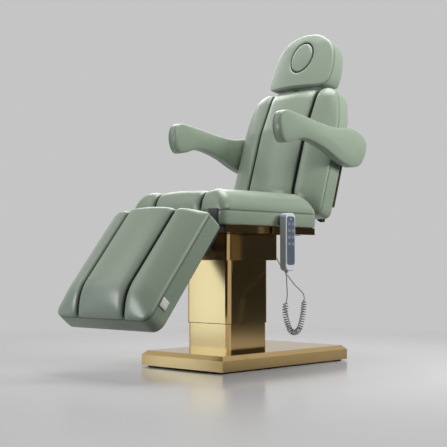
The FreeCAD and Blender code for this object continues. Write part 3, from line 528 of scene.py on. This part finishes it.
def sewn_pad(name, stations, lanes, seam, lip, height, place, channels=(), swell=PAD_SWELL, thick=None):
    """A pad with a top panel over a grid of stations and lanes, a seam, a side band and an underside.

    The panel turns over a small lip at the seam and then follows height(along, across). A pad with
    a thickness has the same panel on its underside; any other lies flat on its board.
    """
    rows, columns = lanes.shape
    grid = rows * columns
    plan = np.stack([np.repeat(stations, columns), lanes.ravel()], axis=1)
    index = np.arange(grid).reshape(rows, columns)
    rim = np.concatenate([index[0, :-1], index[:-1, -1], index[-1, :0:-1], index[:0:-1, 0]])
    outline = plan[rim]
    inside, nearest = distance_inside(plan, outline)
    at_seam = height(*outline.T)[nearest]
    level = (seam + lip * rolled(inside, LIP_REACH * lip) + height(*plan.T)
             - at_seam * (1 - rolled(inside, FORM_REACH)))
    points = [np.column_stack([plan, level])]
    faces = grid_faces(index)

    rings = [(SEAM_DEPTH, seam - STITCHES_DOWN), (0, seam - BAND_DOWN)]
    if thick:
        rings += [(inset, thick - up) for inset, up in reversed(rings)]
    else:
        rings += [(-BAND_BULGE, seam / 2), *BAND_FOOT]
    inward = inward_of(outline)
    previous, total = rim, grid
    for inset, up in rings:
        ring = total + np.arange(len(rim))
        points.append(np.column_stack([outline + inward * inset, np.full(len(rim), up)]))
        faces += band_faces(previous, ring)
        previous, total = ring, total + len(rim)
    if thick:
        points.append(np.column_stack([plan, thick - level]))
        faces += grid_faces((total + index).T)
        faces += band_faces(previous, total + rim)
    else:
        faces += strips_across(np.roll(previous, -(columns // 2)))
    cloud = np.concatenate(points)
    pad = piece(name, place(*cloud.T), faces)

    # painted shade: the seam rings and the panel along its channels get a darker colour
    panel = np.zeros(len(cloud), bool)
    from_seam = np.zeros(len(cloud))
    seam_shade = np.zeros(len(cloud))
    panel[:grid] = True
    from_seam[:grid] = inside
    seam_shade[grid:grid + len(rim)] = FINE_SEAM_SHADE if thick else SEAM_SHADE
    if thick:
        panel[-grid:] = True
        from_seam[-grid:] = inside
        seam_shade[-grid - len(rim):-grid] = FINE_SEAM_SHADE
    from_channel = np.full(len(cloud), 1.0)
    for line in channels:
        from_channel = np.minimum(from_channel, np.abs(cloud[:, 1] - line))
    swell_cover(pad, panel & (from_seam > SEAM_HELD) & (from_channel > CHANNEL_HELD), swell)
    press_in(pad, panel * (CHANNEL_DEPTH * bell(from_channel, CHANNEL_WIDTH)
                           + DIP_DEPTH * bell(from_channel, DIP_WIDTH)))
    mark_creases(pad, seam_shade + panel * CREASE_SHADE_AMOUNT * bell(from_channel, CREASE_SHADE_WIDTH))
    round_off(pad)
    return pad


def fit_pad(pad, node, body):
    """Puts the sewn pad in the place of its solid, on the body that it moves with."""
    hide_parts(node)
    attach(pad, body)


SEAT_FRONT, SEAT_REAR, SEAT_UNDER = -0.282, 0.325, 0.602
SEAT_SEAM, SEAT_RISE, SEAT_LIP, SEAT_CORNER = 0.062, 0.076, 0.005, 0.034
SEAT_FRONT_ROLL, SEAT_REAR_ROLL, SEAT_SIDE_ROLL = 0.055, 0.090, 0.095


def seat_height(x, y):
    """The seat's dome, rolled over at its sides and ends."""
    ends = rolled(x - SEAT_FRONT, SEAT_FRONT_ROLL) * rolled(SEAT_REAR - x, SEAT_REAR_ROLL)
    return (SEAT_RISE * rolled(PAD_HALF - np.abs(y), SEAT_SIDE_ROLL) + panel_crown(y)) * ends


def level_on_frame(along, across, up):
    return np.column_stack([along, across, SEAT_UNDER + up])


seat_stations = stations_between(SEAT_FRONT, SEAT_REAR)
seat_lanes = channelled_lanes(rounded_half(seat_stations, SEAT_CORNER, SEAT_CORNER))
seat_pad = sewn_pad("seat_pad", seat_stations, seat_lanes, SEAT_SEAM, SEAT_LIP, seat_height,
                    level_on_frame, CHANNELS)
fit_pad(seat_pad, "seat_cushion", "carriage")


def flat_bar(name, corners, material, body):
    """A small flat piece from four corners round one end and the same four round the other."""
    sides = [(0, 1, 2, 3), (4, 5, 6, 7)] + [(k, (k + 1) % 4, (k + 1) % 4 + 4, k + 4) for k in range(4)]
    bar = piece(name, corners, sides, material, smooth=False)
    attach(bar, body)


SIDES = (("left", -1), ("right", 1))
PLATE_FRONT, PLATE_REAR = -0.2868, -0.2834
PLATE_INNER, PLATE_OUTER = 0.196, 0.246
PLATE_ENDS = (0.603, 0.668)
# painted shade: the black plates also darken the gap between leg rest and seat
for side, sign in SIDES:
    low, high = sorted((sign * PLATE_INNER, sign * PLATE_OUTER))
    plate_line = ((PLATE_FRONT, low), (PLATE_REAR, low), (PLATE_REAR, high), (PLATE_FRONT, high))
    plate_corners = np.array([(x, y, z) for z in PLATE_ENDS for x, y in plate_line])
    flat_bar("leg_hinge_plate_and_gap_shade_" + side, plate_corners, black_steel, "carriage")


# The leg rest's pad is made like the seat's, drawn level and then swung down about its hinge.
# It lies on a thin dark board with a black tube frame under it. A small white ribbon tag is
# caught in the seam of its left side, near the foot end.
dress(board_facing, "leg_board")
dress(black_steel, "leg_frame")
LEG_PIVOT = Vector((-0.287, 0, 0.588))
LEG_DROP = math.radians(-51.0)
LEG_FOOT, LEG_TOP_END, LEG_UNDER = -0.817, -0.289, 0.600
LEG_SEAM, LEG_RISE, LEG_LIP = 0.078, 0.065, 0.008
LEG_SIDE_FALL, LEG_DOME_POWER = 0.95, 2.8
LEG_FOOT_ROLL, LEG_TOP_ROLL = 0.140, 0.030
LEG_FOOT_CORNER, LEG_TOP_CORNER = 0.045, 0.012
about_hinge = Matrix.Translation(LEG_PIVOT)
swing_down = about_hinge @ Matrix.Rotation(LEG_DROP, 4, "Y") @ about_hinge.inverted()


def eased(distance, reach):
    """As rolled, but flatter at the edge itself."""
    return 1 - (1 - np.clip(distance / reach, 0, 1)) ** 2


def leg_height(x, y):
    """The leg rest's dome, long and easy towards its foot end."""
    dome = LEG_RISE * (1 - LEG_SIDE_FALL * np.abs(y / PAD_HALF) ** LEG_DOME_POWER)
    ends = eased(x - LEG_FOOT, LEG_FOOT_ROLL) * rolled(LEG_TOP_END - x, LEG_TOP_ROLL)
    return (dome + panel_crown(y)) * ends


def hanging(along, across, up):
    level = np.column_stack([along, across, LEG_UNDER + up, np.ones(len(along))])
    return (level @ np.array(swing_down).T)[:, :3]


leg_stations = stations_between(LEG_FOOT, LEG_TOP_END)
leg_lanes = channelled_lanes(rounded_half(leg_stations, LEG_FOOT_CORNER, LEG_TOP_CORNER))
leg_pad = sewn_pad("leg_pad", leg_stations, leg_lanes, LEG_SEAM, LEG_LIP, leg_height, hanging, CHANNELS)
fit_pad(leg_pad, "leg_cushion", "leg_rest")

TAG_WIDE, TAG_LONG, TAG_THICK = 0.040, 0.038, 0.0006
TAG_AT, TAG_SEAM = -0.740, 0.074
TAG_GRID = 7
TAG_OFF, TAG_BULGE, TAG_WAVE = 0.0022, 0.0015, 0.0008   # how far it stands off the band
TAG_WAVE_TURN = 5.0         # the wave's turn over the tag's width, in radians
white_ribbon = finish_material("white_ribbon", dark=(0.62, 0.60, 0.57), light=(0.74, 0.72, 0.69),
                               smooth=0.7, rough=0.85, grain=0.0002, patch=60.0, effect=brushed_lines)
tag_shares = np.linspace(0, 1, TAG_GRID)
tag_along, tag_down = [shares.ravel() for shares in np.meshgrid(tag_shares, tag_shares, indexing="ij")]
tag_wave = TAG_WAVE * np.sin(tag_along * TAG_WAVE_TURN)
tag_out = TAG_OFF + TAG_BULGE * np.sin(tag_down * math.pi) + tag_wave
tag_points = hanging(TAG_AT + TAG_WIDE * tag_along, -PAD_HALF - tag_out, TAG_SEAM - TAG_LONG * tag_down)
tag_faces = grid_faces(np.arange(TAG_GRID ** 2).reshape(TAG_GRID, TAG_GRID))
seam_tag = piece("seam_tag", tag_points, tag_faces, white_ribbon)
ribbon = seam_tag.modifiers.new("ribbon", "SOLIDIFY")
ribbon.thickness = TAG_THICK
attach(seam_tag, "leg_rest")


# The backrest's pad is sewn like the seat's and narrows to rounded shoulders. Its dark board
# leans back on a black tube frame, is hinged behind the seat, and has a thin lipping glued
# along each of its side edges.
dress(board_facing, "back_board")
dress(black_steel, "back_frame", "head_hinge")
BACK_FOOT = Vector((0.334, 0, 0.693))
BACK_LEAN = math.radians(18.0)
BACK_DEPTH = 0.094
BACK_BOTTOM, BACK_TOP = -0.022, 0.603
BACK_SEAM, BACK_RISE, BACK_LIP = 0.078, 0.070, 0.006
SHOULDER_FROM, SHOULDER_NARROW, SHOULDER_POWER = 0.385, 0.054, 1.8
SHOULDER_CORNER, BACK_FOOT_CORNER = 0.045, 0.030
FLATTER_FROM, FLATTER_RATE = 0.380, 2.3     # towards the shoulders the dome gets lower
BACK_FOOT_ROLL, BACK_TOP_ROLL = 0.115, 0.060


def leaning(foot, lean, depth):
    """Places a pad that was drawn flat so that it stands on its foot and leans back."""
    def place(up, across, height):
        rearward = depth - height
        return np.column_stack([foot.x + rearward * math.cos(lean) + up * math.sin(lean), across,
                                foot.z - rearward * math.sin(lean) + up * math.cos(lean)])
    return place


def back_half(up):
    """Half the backrest's width at this height."""
    shoulder = np.clip((up - SHOULDER_FROM) / (BACK_TOP - SHOULDER_FROM), 0, 1)
    corners = corner_cut(BACK_TOP - up, SHOULDER_CORNER) + corner_cut(up - BACK_BOTTOM, BACK_FOOT_CORNER)
    return PAD_HALF - SHOULDER_NARROW * shoulder ** SHOULDER_POWER - corners


def back_height(up, y):
    """The backrest's dome, long and easy at its foot."""
    flatter = 1 - FLATTER_RATE * np.maximum(up - FLATTER_FROM, 0)
    ends = eased(up - BACK_BOTTOM, BACK_FOOT_ROLL) * rolled(BACK_TOP - up, BACK_TOP_ROLL)
    return (BACK_RISE * (1 - (y / PAD_HALF) ** 2) + panel_crown(y)) * ends * flatter


on_back = leaning(BACK_FOOT, BACK_LEAN, BACK_DEPTH)
back_stations = stations_between(BACK_BOTTOM, BACK_TOP)
back_lanes = channelled_lanes(back_half(back_stations))
back_pad = sewn_pad("back_pad", back_stations, back_lanes, BACK_SEAM, BACK_LIP, back_height,
                    on_back, CHANNELS)
fit_pad(back_pad, "back_cushion", "backrest")

LIPPING_ENDS = (0.039, 0.400)
LIPPING_LINE = ((0.270, -0.0005), (0.279, -0.0005), (0.279, -0.0095), (0.270, -0.0095))
lipping = np.array([(up, out, height) for up in LIPPING_ENDS for out, height in LIPPING_LINE])
for side, sign in SIDES:
    lipping_corners = on_back(lipping[:, 0], sign * lipping[:, 1], lipping[:, 2])
    flat_bar("back_board_lipping_" + side, lipping_corners, board_facing, "backrest")


# The armrests are bone-shaped foam pads on steel shafts behind the backrest. Each has a side
# panel on both faces and a band sewn all round between them.
dress(bright_steel, "arm_shaft_left", "arm_shaft_right")
ARM_IN, ARM_THICK, ARM_CROWN = 0.285, 0.060, 0.003
ARM_SEAM, ARM_LIP, ARM_SWELL = 0.047, 0.010, 0.003
ARM_STATIONS, ARM_LANES = 90, 26
ARM_TIP = 0.02              # the half turn of stations stops this short of the arm's tips
ARM_END_ROLL = 0.060
OUTLINE_STEPS = 24          # points from one of an outline's knots to the next
ARM_OUTLINE = [(-0.003, 1.025), (0.028, 1.090), (0.148, 1.080), (0.283, 1.058), (0.393, 1.049),
               (0.503, 1.056), (0.583, 1.032), (0.614, 0.980), (0.573, 0.900), (0.503, 0.882),
               (0.413, 0.905), (0.313, 0.948), (0.223, 0.973), (0.148, 0.980), (0.033, 0.956)]


def closed_spline(points, steps):
    """A smooth closed line through the points."""
    knots = np.array(points)
    before, after, beyond = (np.roll(knots, shift, axis=0) for shift in (1, -1, -2))
    share = np.linspace(0, 1, steps, endpoint=False)[None, :, None]
    line = 0.5 * (2 * knots[:, None] + (after - before)[:, None] * share
                  + (2 * before - 5 * knots + 4 * after - beyond)[:, None] * share ** 2
                  + (3 * knots - before - 3 * after + beyond)[:, None] * share ** 3)
    return line.reshape(-1, 2)


def close_at_ends(first, last, count):
    """Shares of a length that lie closer together towards both its ends."""
    return 0.5 - 0.5 * np.cos(np.linspace(first, last, count))


arm_line = closed_spline(ARM_OUTLINE, OUTLINE_STEPS)
nose, tail = int(arm_line[:, 0].argmin()), int(arm_line[:, 0].argmax())
arm_line = np.roll(arm_line, -nose, axis=0)
tail = (tail - nose) % len(arm_line)
upper_side, under_side = arm_line[:tail + 1], np.vstack([arm_line[tail:], arm_line[:1]])[::-1]
arm_length = arm_line[tail, 0] - arm_line[0, 0]
arm_stations = arm_line[0, 0] + arm_length * close_at_ends(ARM_TIP, math.pi - ARM_TIP, ARM_STATIONS)
arm_high = np.interp(arm_stations, upper_side[:, 0], upper_side[:, 1])
arm_low = np.interp(arm_stations, under_side[:, 0], under_side[:, 1])
arm_lanes = arm_low[:, None] + (arm_high - arm_low)[:, None] * close_at_ends(0, math.pi, ARM_LANES)[None]


def arm_height(along, across):
    """Each side panel swells most along the middle of the arm."""
    low, high = np.interp(along, arm_stations, arm_low), np.interp(along, arm_stations, arm_high)
    share = (across - low) / (high - low)
    ends = eased(along - arm_stations[0], ARM_END_ROLL) * eased(arm_stations[-1] - along, ARM_END_ROLL)
    return 4 * ARM_CROWN * share * (1 - share) * ends


for side, sign in SIDES:
    arm_pad = sewn_pad("arm_pad_" + side, arm_stations, arm_lanes, ARM_SEAM, ARM_LIP, arm_height,
                       lambda along, across, out: np.column_stack([along, sign * (ARM_IN + out), across]),
                       swell=ARM_SWELL, thick=ARM_THICK)
    fit_pad(arm_pad, "armrest_pad_" + side, "armrest_" + side)


# The headrest is an arched pad with an oval hole for the face, stopped by a loose plug. Both
# are foam under the same leatherette; the pad's board is hinged to the top of the back board.
dress(board_facing, "head_board")
dress(black_steel, "head_hinge_leaves")
HEAD_FOOT = Vector((0.543, 0, 1.289))
HEAD_LEAN = math.radians(15.0)
HEAD_DEPTH, HEAD_HEIGHT = 0.080, 0.275
HEAD_SEAM, HEAD_RISE, HEAD_HALF = 0.070, 0.030, 0.185
HEAD_LIP, HEAD_LIP_REACH = 0.006, 0.010
HEAD_SIDE_FALL, HEAD_FULLER = 0.95, 0.12    # lower towards the sides, fuller towards the foot
HEAD_FOOT_ROLL, HEAD_TOP_ROLL = 0.016, 0.070
HEAD_FOOT_EDGE = -0.018     # the skin's lower edge; the pad's rear ends at 0
HEAD_FOOT_LIFT = 0.004      # the roll at the foot starts this far outside the edge
HEAD_OUTLINE = [(0.080, HEAD_FOOT_EDGE), (0.148, -0.014), (0.177, 0.020), (0.182, 0.104),
                (0.158, 0.194), (0.093, 0.252)]
HOLE_WIDE, HOLE_TALL, HOLE_UP = 0.064, 0.080, 0.144
HOLE_WALL = ((0.001, 0), (0, 0.004))                            # wider than the hole, and height
HOLE_TURN = ((0, 0.014), (0.001, 0.006), (0.004, 0.0015))       # wider than the hole, and below the skin
HOLE_RIM = 0.006
PLUG_GAP, PLUG_CROWN = 0.0015, 0.002
PLUG_WALL = ((-0.004, 0.004), (0, 0.008))
PLUG_TURN = ((0, 0.014), (-0.001, 0.006), (-0.004, 0.001))
PLUG_SHARES = (0.85, 0.68, 0.5, 0.32, 0.16, 0.04)
TURNED_RINGS = (2, 3)       # the rings of hole and plug that lie in the gap between them, with painted shade
RING_POINTS = 144
SKIN_SHARES = np.linspace(0.06, 1, 22)
# painted shade on the seam rings of headrest and plug
RING_SEAM_SHADE = 0.95

head_half = [(0, HEAD_FOOT_EDGE)] + HEAD_OUTLINE + [(0, HEAD_HEIGHT)]
head_knots = head_half + [(-y, up) for y, up in reversed(HEAD_OUTLINE)]
head_line = closed_spline(head_knots, OUTLINE_STEPS) - (0, HOLE_UP)
line_angles = np.arctan2(head_line[:, 1], head_line[:, 0])
line_reach = np.linalg.norm(head_line, axis=1)
order = np.argsort(line_angles)
turns = np.linspace(-math.pi, math.pi, RING_POINTS, endpoint=False)
head_reach = np.interp(turns, line_angles[order], line_reach[order], period=2 * math.pi)
rays = np.column_stack([np.cos(turns), np.sin(turns)])
hole_reach = 1 / np.hypot(rays[:, 0] / HOLE_WIDE, rays[:, 1] / HOLE_TALL)


def head_ring(reach):
    return np.array([0, HOLE_UP]) + rays * reach[:, None]


def head_height(ring):
    """The front skin: domed both ways, and fuller towards its foot."""
    y, up = ring[:, 0], ring[:, 1]
    foot = rolled(up - HEAD_FOOT_EDGE + HEAD_FOOT_LIFT, HEAD_FOOT_ROLL)
    top = rolled(HEAD_HEIGHT - up, HEAD_TOP_ROLL)
    dome = HEAD_RISE * (1 - HEAD_SIDE_FALL * (y / HEAD_HALF) ** 2) + HEAD_FULLER * (HOLE_UP - up)
    return dome * (foot * top)


def skin_ring(reach, drop=0.0):
    """A ring on the front skin, or this far below it."""
    ring = head_ring(reach)
    lip = HEAD_LIP * rolled(head_reach - reach, HEAD_LIP_REACH)
    return ring, HEAD_SEAM + lip + head_height(ring) - drop


def plain_ring(reach, level):
    """A ring at this height above the board."""
    return head_ring(reach), np.broadcast_to(level, RING_POINTS)


def ring_piece(name, rings, place, closed, sewn):
    """A pad of closed rings, joined into a loop or with flat ends; the sewn rings lie in a seam and get
    painted shade.
    """
    cloud = np.concatenate([np.column_stack([plan[:, 1], plan[:, 0], level]) for plan, level in rings])
    index = np.arange(len(cloud)).reshape(len(rings), RING_POINTS)
    faces = []
    for ring, following in zip(index[:-1], index[1:]):
        faces += band_faces(following, ring)
    if closed:
        faces += band_faces(index[0], index[-1])
    else:
        faces += strips_across(index[0]) + strips_across(index[-1])
    pad = piece(name, place(*cloud.T), faces)
    seam_shade = np.zeros(index.shape)
    seam_shade[list(sewn)] = RING_SEAM_SHADE
    mark_creases(pad, seam_shade.ravel())
    round_off(pad)
    return pad


on_head = leaning(HEAD_FOOT, HEAD_LEAN, HEAD_DEPTH)
head_rings = [plain_ring(hole_reach + wider, level) for wider, level in HOLE_WALL]
head_rings += [skin_ring(hole_reach + wider, drop) for wider, drop in HOLE_TURN]
skin_width = head_reach - hole_reach - HOLE_RIM
for share in SKIN_SHARES:
    head_rings.append(skin_ring(hole_reach + HOLE_RIM + skin_width * math.sin(share * math.pi / 2)))
head_seam_ring = len(head_rings)
seam_level = HEAD_SEAM + head_height(head_ring(head_reach))
to_rear_foot = np.where(rays[:, 1] < 0, HOLE_UP / np.maximum(-rays[:, 1], 1e-3), head_reach)
rear_reach = np.minimum(head_reach, to_rear_foot)
head_rings += [plain_ring(head_reach - SEAM_DEPTH, seam_level - STITCHES_DOWN),
               plain_ring(head_reach, seam_level - BAND_DOWN),
               plain_ring((head_reach + rear_reach) / 2 + BAND_BULGE, seam_level / 2)]
head_rings += [plain_ring(rear_reach - inset, level) for inset, level in BAND_FOOT]
head_pad = ring_piece("head_pad", head_rings, on_head, True, (*TURNED_RINGS, head_seam_ring))
fit_pad(head_pad, "head_cushion", "headrest")

plug_reach = hole_reach - PLUG_GAP
plug_rings = [plain_ring(plug_reach + wider, level) for wider, level in PLUG_WALL]
plug_rings += [skin_ring(plug_reach + wider, drop) for wider, drop in PLUG_TURN]
plug_rings += [skin_ring(plug_reach * share, -PLUG_CROWN * (1 - share)) for share in PLUG_SHARES]
plug_pad = ring_piece("face_plug_pad", plug_rings, on_head, False, TURNED_RINGS)
fit_pad(plug_pad, "face_plug", "face_plug")


# The handset is a light grey moulded case with a blue-grey key panel and eight rubber keys,
# which sink into the panel when they are pressed. A small white lamp lens is set in its face.
KEY_EDGE = 0.0006
LENS_AT, LENS_R, LENS_FLATTENED = (0.0735, -0.3302, 0.632), 0.003, (1, 0.4, 1, 1)
case_plastic = finish_material("case_plastic", dark=(0.58, 0.62, 0.68), light=(0.66, 0.70, 0.76),
                               smooth=0.30, rough=0.42, grain=0.0002)
panel_film = finish_material("panel_film", dark=(0.085, 0.11, 0.14), light=(0.11, 0.14, 0.175),
                             smooth=0.32, rough=0.44, grain=0.0002)
key_rubber = finish_material("key_rubber", dark=(0.17, 0.205, 0.25), light=(0.21, 0.245, 0.29),
                             smooth=0.5, rough=0.65, grain=0.0002)
white_lens = finish_material("white_lens", dark=(0.78, 0.80, 0.82), light=(0.86, 0.88, 0.90),
                             smooth=0.12, rough=0.2, grain=0.0001)
key_names = ["key_" + str(number) for number in range(1, 9)]
dress(case_plastic, "handset_body")
dress(panel_film, "handset_keypad")
dress(key_rubber, *key_names)
soften(KEY_EDGE, "handset_keypad", *key_names)

lens_mesh = bpy.data.meshes.new("handset_lamp")
lens_shape = bmesh.new()
bmesh.ops.create_uvsphere(lens_shape, u_segments=20, v_segments=12, radius=LENS_R,
                          matrix=Matrix.Translation(LENS_AT) @ Matrix.Diagonal(LENS_FLATTENED))
lens_shape.to_mesh(lens_mesh)
lens_shape.free()
shade(lens_mesh, True)
lens_mesh.materials.append(white_lens)
handset_lamp = placed("handset_lamp", lens_mesh)
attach(handset_lamp, "handset")


# The room is a pale glossy floor that fades into a grey surround, under soft lamps on all
# sides. The low lamp in front is kept off the floor, and a black card beside the couch gives
# the gold of the column its dark side.
FLOOR_REACH = 14.0
FLOOR_FADE = (0.7, 3.0)             # metres from the middle over which it fades into the surround
FLOOR_DULLER = (0.8, 2.2)           # and over which it loses its gloss
FLOOR_BOUNCE = (0.22, 0.22, 0.22, 1)
SURROUND_SEEN = (0.558, 0.558, 0.558, 1)
SURROUND_LIGHT = (0.10, 0.10, 0.10, 1)
CARD_ENDS = ((0.7, -2.84), (3.4, -0.96))
CARD_FOOT, CARD_TOP = -0.8, 1.1


def seen_as_it_is(tree):
    """1 for what is seen straight, in a mirror or through glass, and 0 for what only gives light."""
    path = tree.nodes.new("ShaderNodeLightPath")
    seen = path.outputs["Is Camera Ray"]
    for kind in ("Is Glossy Ray", "Is Transmission Ray"):
        either = tree.nodes.new("ShaderNodeMath")
        either.operation = "MAXIMUM"
        tree.links.new(seen, either.inputs[0])
        tree.links.new(path.outputs[kind], either.inputs[1])
        seen = either.outputs["Value"]
    return seen


def floor_material():
    """A pale resin, glossy near the couch, that fades out away from it."""
    material = finish_material("floor_resin", dark=(0.53, 0.53, 0.53), light=(0.54, 0.54, 0.54),
                               smooth=0.14, rough=0.42, grain=0.00001)
    tree = material.node_tree
    shader = tree.nodes["Principled BSDF"]
    shader.inputs["Specular IOR Level"].default_value = 0.15
    where = tree.nodes.new("ShaderNodeTexCoord")
    away = tree.nodes.new("ShaderNodeVectorMath")
    away.operation = "LENGTH"
    tree.links.new(where.outputs["Object"], away.inputs[0])

    fade = tree.nodes.new("ShaderNodeMapRange")
    fade.interpolation_type = "SMOOTHSTEP"
    fade.inputs["From Min"].default_value = FLOOR_FADE[0]
    fade.inputs["From Max"].default_value = FLOOR_FADE[1]
    fade.inputs["To Min"].default_value = 1.0
    fade.inputs["To Max"].default_value = 0.0
    tree.links.new(away.outputs["Value"], fade.inputs["Value"])
    tree.links.new(fade.outputs["Result"], shader.inputs["Alpha"])

    polish = shader.inputs["Roughness"].links[0].from_node
    polish.inputs["From Min"].default_value = FLOOR_DULLER[0]
    polish.inputs["From Max"].default_value = FLOOR_DULLER[1]
    tree.links.new(away.outputs["Value"], polish.inputs["Value"])

    tone = shader.inputs["Base Color"].links[0].from_socket
    bounce = tree.nodes.new("ShaderNodeMix")
    bounce.data_type = "RGBA"
    bounce.inputs["A"].default_value = FLOOR_BOUNCE
    tree.links.new(seen_as_it_is(tree), bounce.inputs["Factor"])
    tree.links.new(tone, bounce.inputs["B"])
    tree.links.new(bounce.outputs["Result"], shader.inputs["Base Color"])
    return material


def room_sheet(name, corners, material):
    """A flat sheet of the room between four corners."""
    mesh = bpy.data.meshes.new(name)
    mesh.from_pydata(corners, [], [(0, 1, 2, 3)])
    mesh.materials.append(material)
    made = placed(name, mesh)
    return made


floor_corners = [(FLOOR_REACH * x, FLOOR_REACH * y, 0) for x, y in ((-1, -1), (1, -1), (1, 1), (-1, 1))]
floor = room_sheet("floor", floor_corners, floor_material())

world = bpy.data.worlds.new("studio")
bpy.context.scene.world = world
world.use_nodes = True
room = world.node_tree
surround = room.nodes["Background"]
surround.inputs["Color"].default_value = SURROUND_SEEN
fill = room.nodes.new("ShaderNodeBackground")
fill.inputs["Color"].default_value = SURROUND_LIGHT
choose = room.nodes.new("ShaderNodeMixShader")
room.links.new(seen_as_it_is(room), choose.inputs["Fac"])
room.links.new(fill.outputs["Background"], choose.inputs[1])
room.links.new(surround.outputs["Background"], choose.inputs[2])
room.links.new(choose.outputs["Shader"], room.nodes["World Output"].inputs["Surface"])


def soft_lamp(name, place, aim, width, height, watts, tint=(1, 1, 1), mirrored=True):
    """A rectangle of soft light at a place, turned towards its aim."""
    lamp = bpy.data.lights.new(name, "AREA")
    lamp.shape = "RECTANGLE"
    lamp.size = width
    lamp.size_y = height
    lamp.energy = watts
    lamp.color = tint
    holder = placed(name, lamp)
    holder.location = place
    holder.rotation_euler = (Vector(aim) - Vector(place)).to_track_quat("-Z", "Y").to_euler()
    holder.visible_camera = False
    holder.visible_glossy = mirrored
    return holder


soft_lamp("near_key", (1.0, -1.9, 1.5), (0.3, -0.4, 1.0), 0.8, 0.6, 34, mirrored=False)
soft_lamp("near_front", (-0.3, -3.0, 2.4), (0.35, -0.2, 1.05), 1.6, 1.2, 22)
soft_lamp("front_fill", (-2.2, 1.8, 2.5), (-0.2, 0, 0.6), 2.0, 2.0, 16)
front_low = soft_lamp("front_low", (-2.6, 0.9, 0.9), (-0.5, 0, 0.5), 1.0, 0.8, 20)
soft_lamp("overhead", (0.4, 0.0, 3.2), (0.0, 0, 0.5), 1.8, 1.8, 64)
soft_lamp("behind", (1.6, 1.8, 3.0), (0.1, 0, 0.8), 2.8, 1.6, 52)
soft_lamp("column_strip", (-2.15, 1.95, 0.6), (-0.1, 0, 0.40), 0.4, 1.4, 2.6, tint=(0.48, 0.70, 1.0))

flag = bpy.data.collections.new("flag")
flag.objects.link(floor)
flag.collection_objects[0].light_linking.link_state = "EXCLUDE"
front_low.light_linking.receiver_collection = flag

card_black = finish_material("card_black", dark=(0.012, 0.012, 0.012), light=(0.02, 0.02, 0.02),
                             smooth=0.8, rough=0.9, grain=0.0002)
card_near, card_far = CARD_ENDS
card_corners = [(*card_near, CARD_FOOT), (*card_far, CARD_FOOT),
                (*card_far, CARD_TOP), (*card_near, CARD_TOP)]
dark_card = room_sheet("dark_card", card_corners, card_black)
dark_card.visible_camera = False

bpy.context.scene.view_settings.view_transform = "Standard"
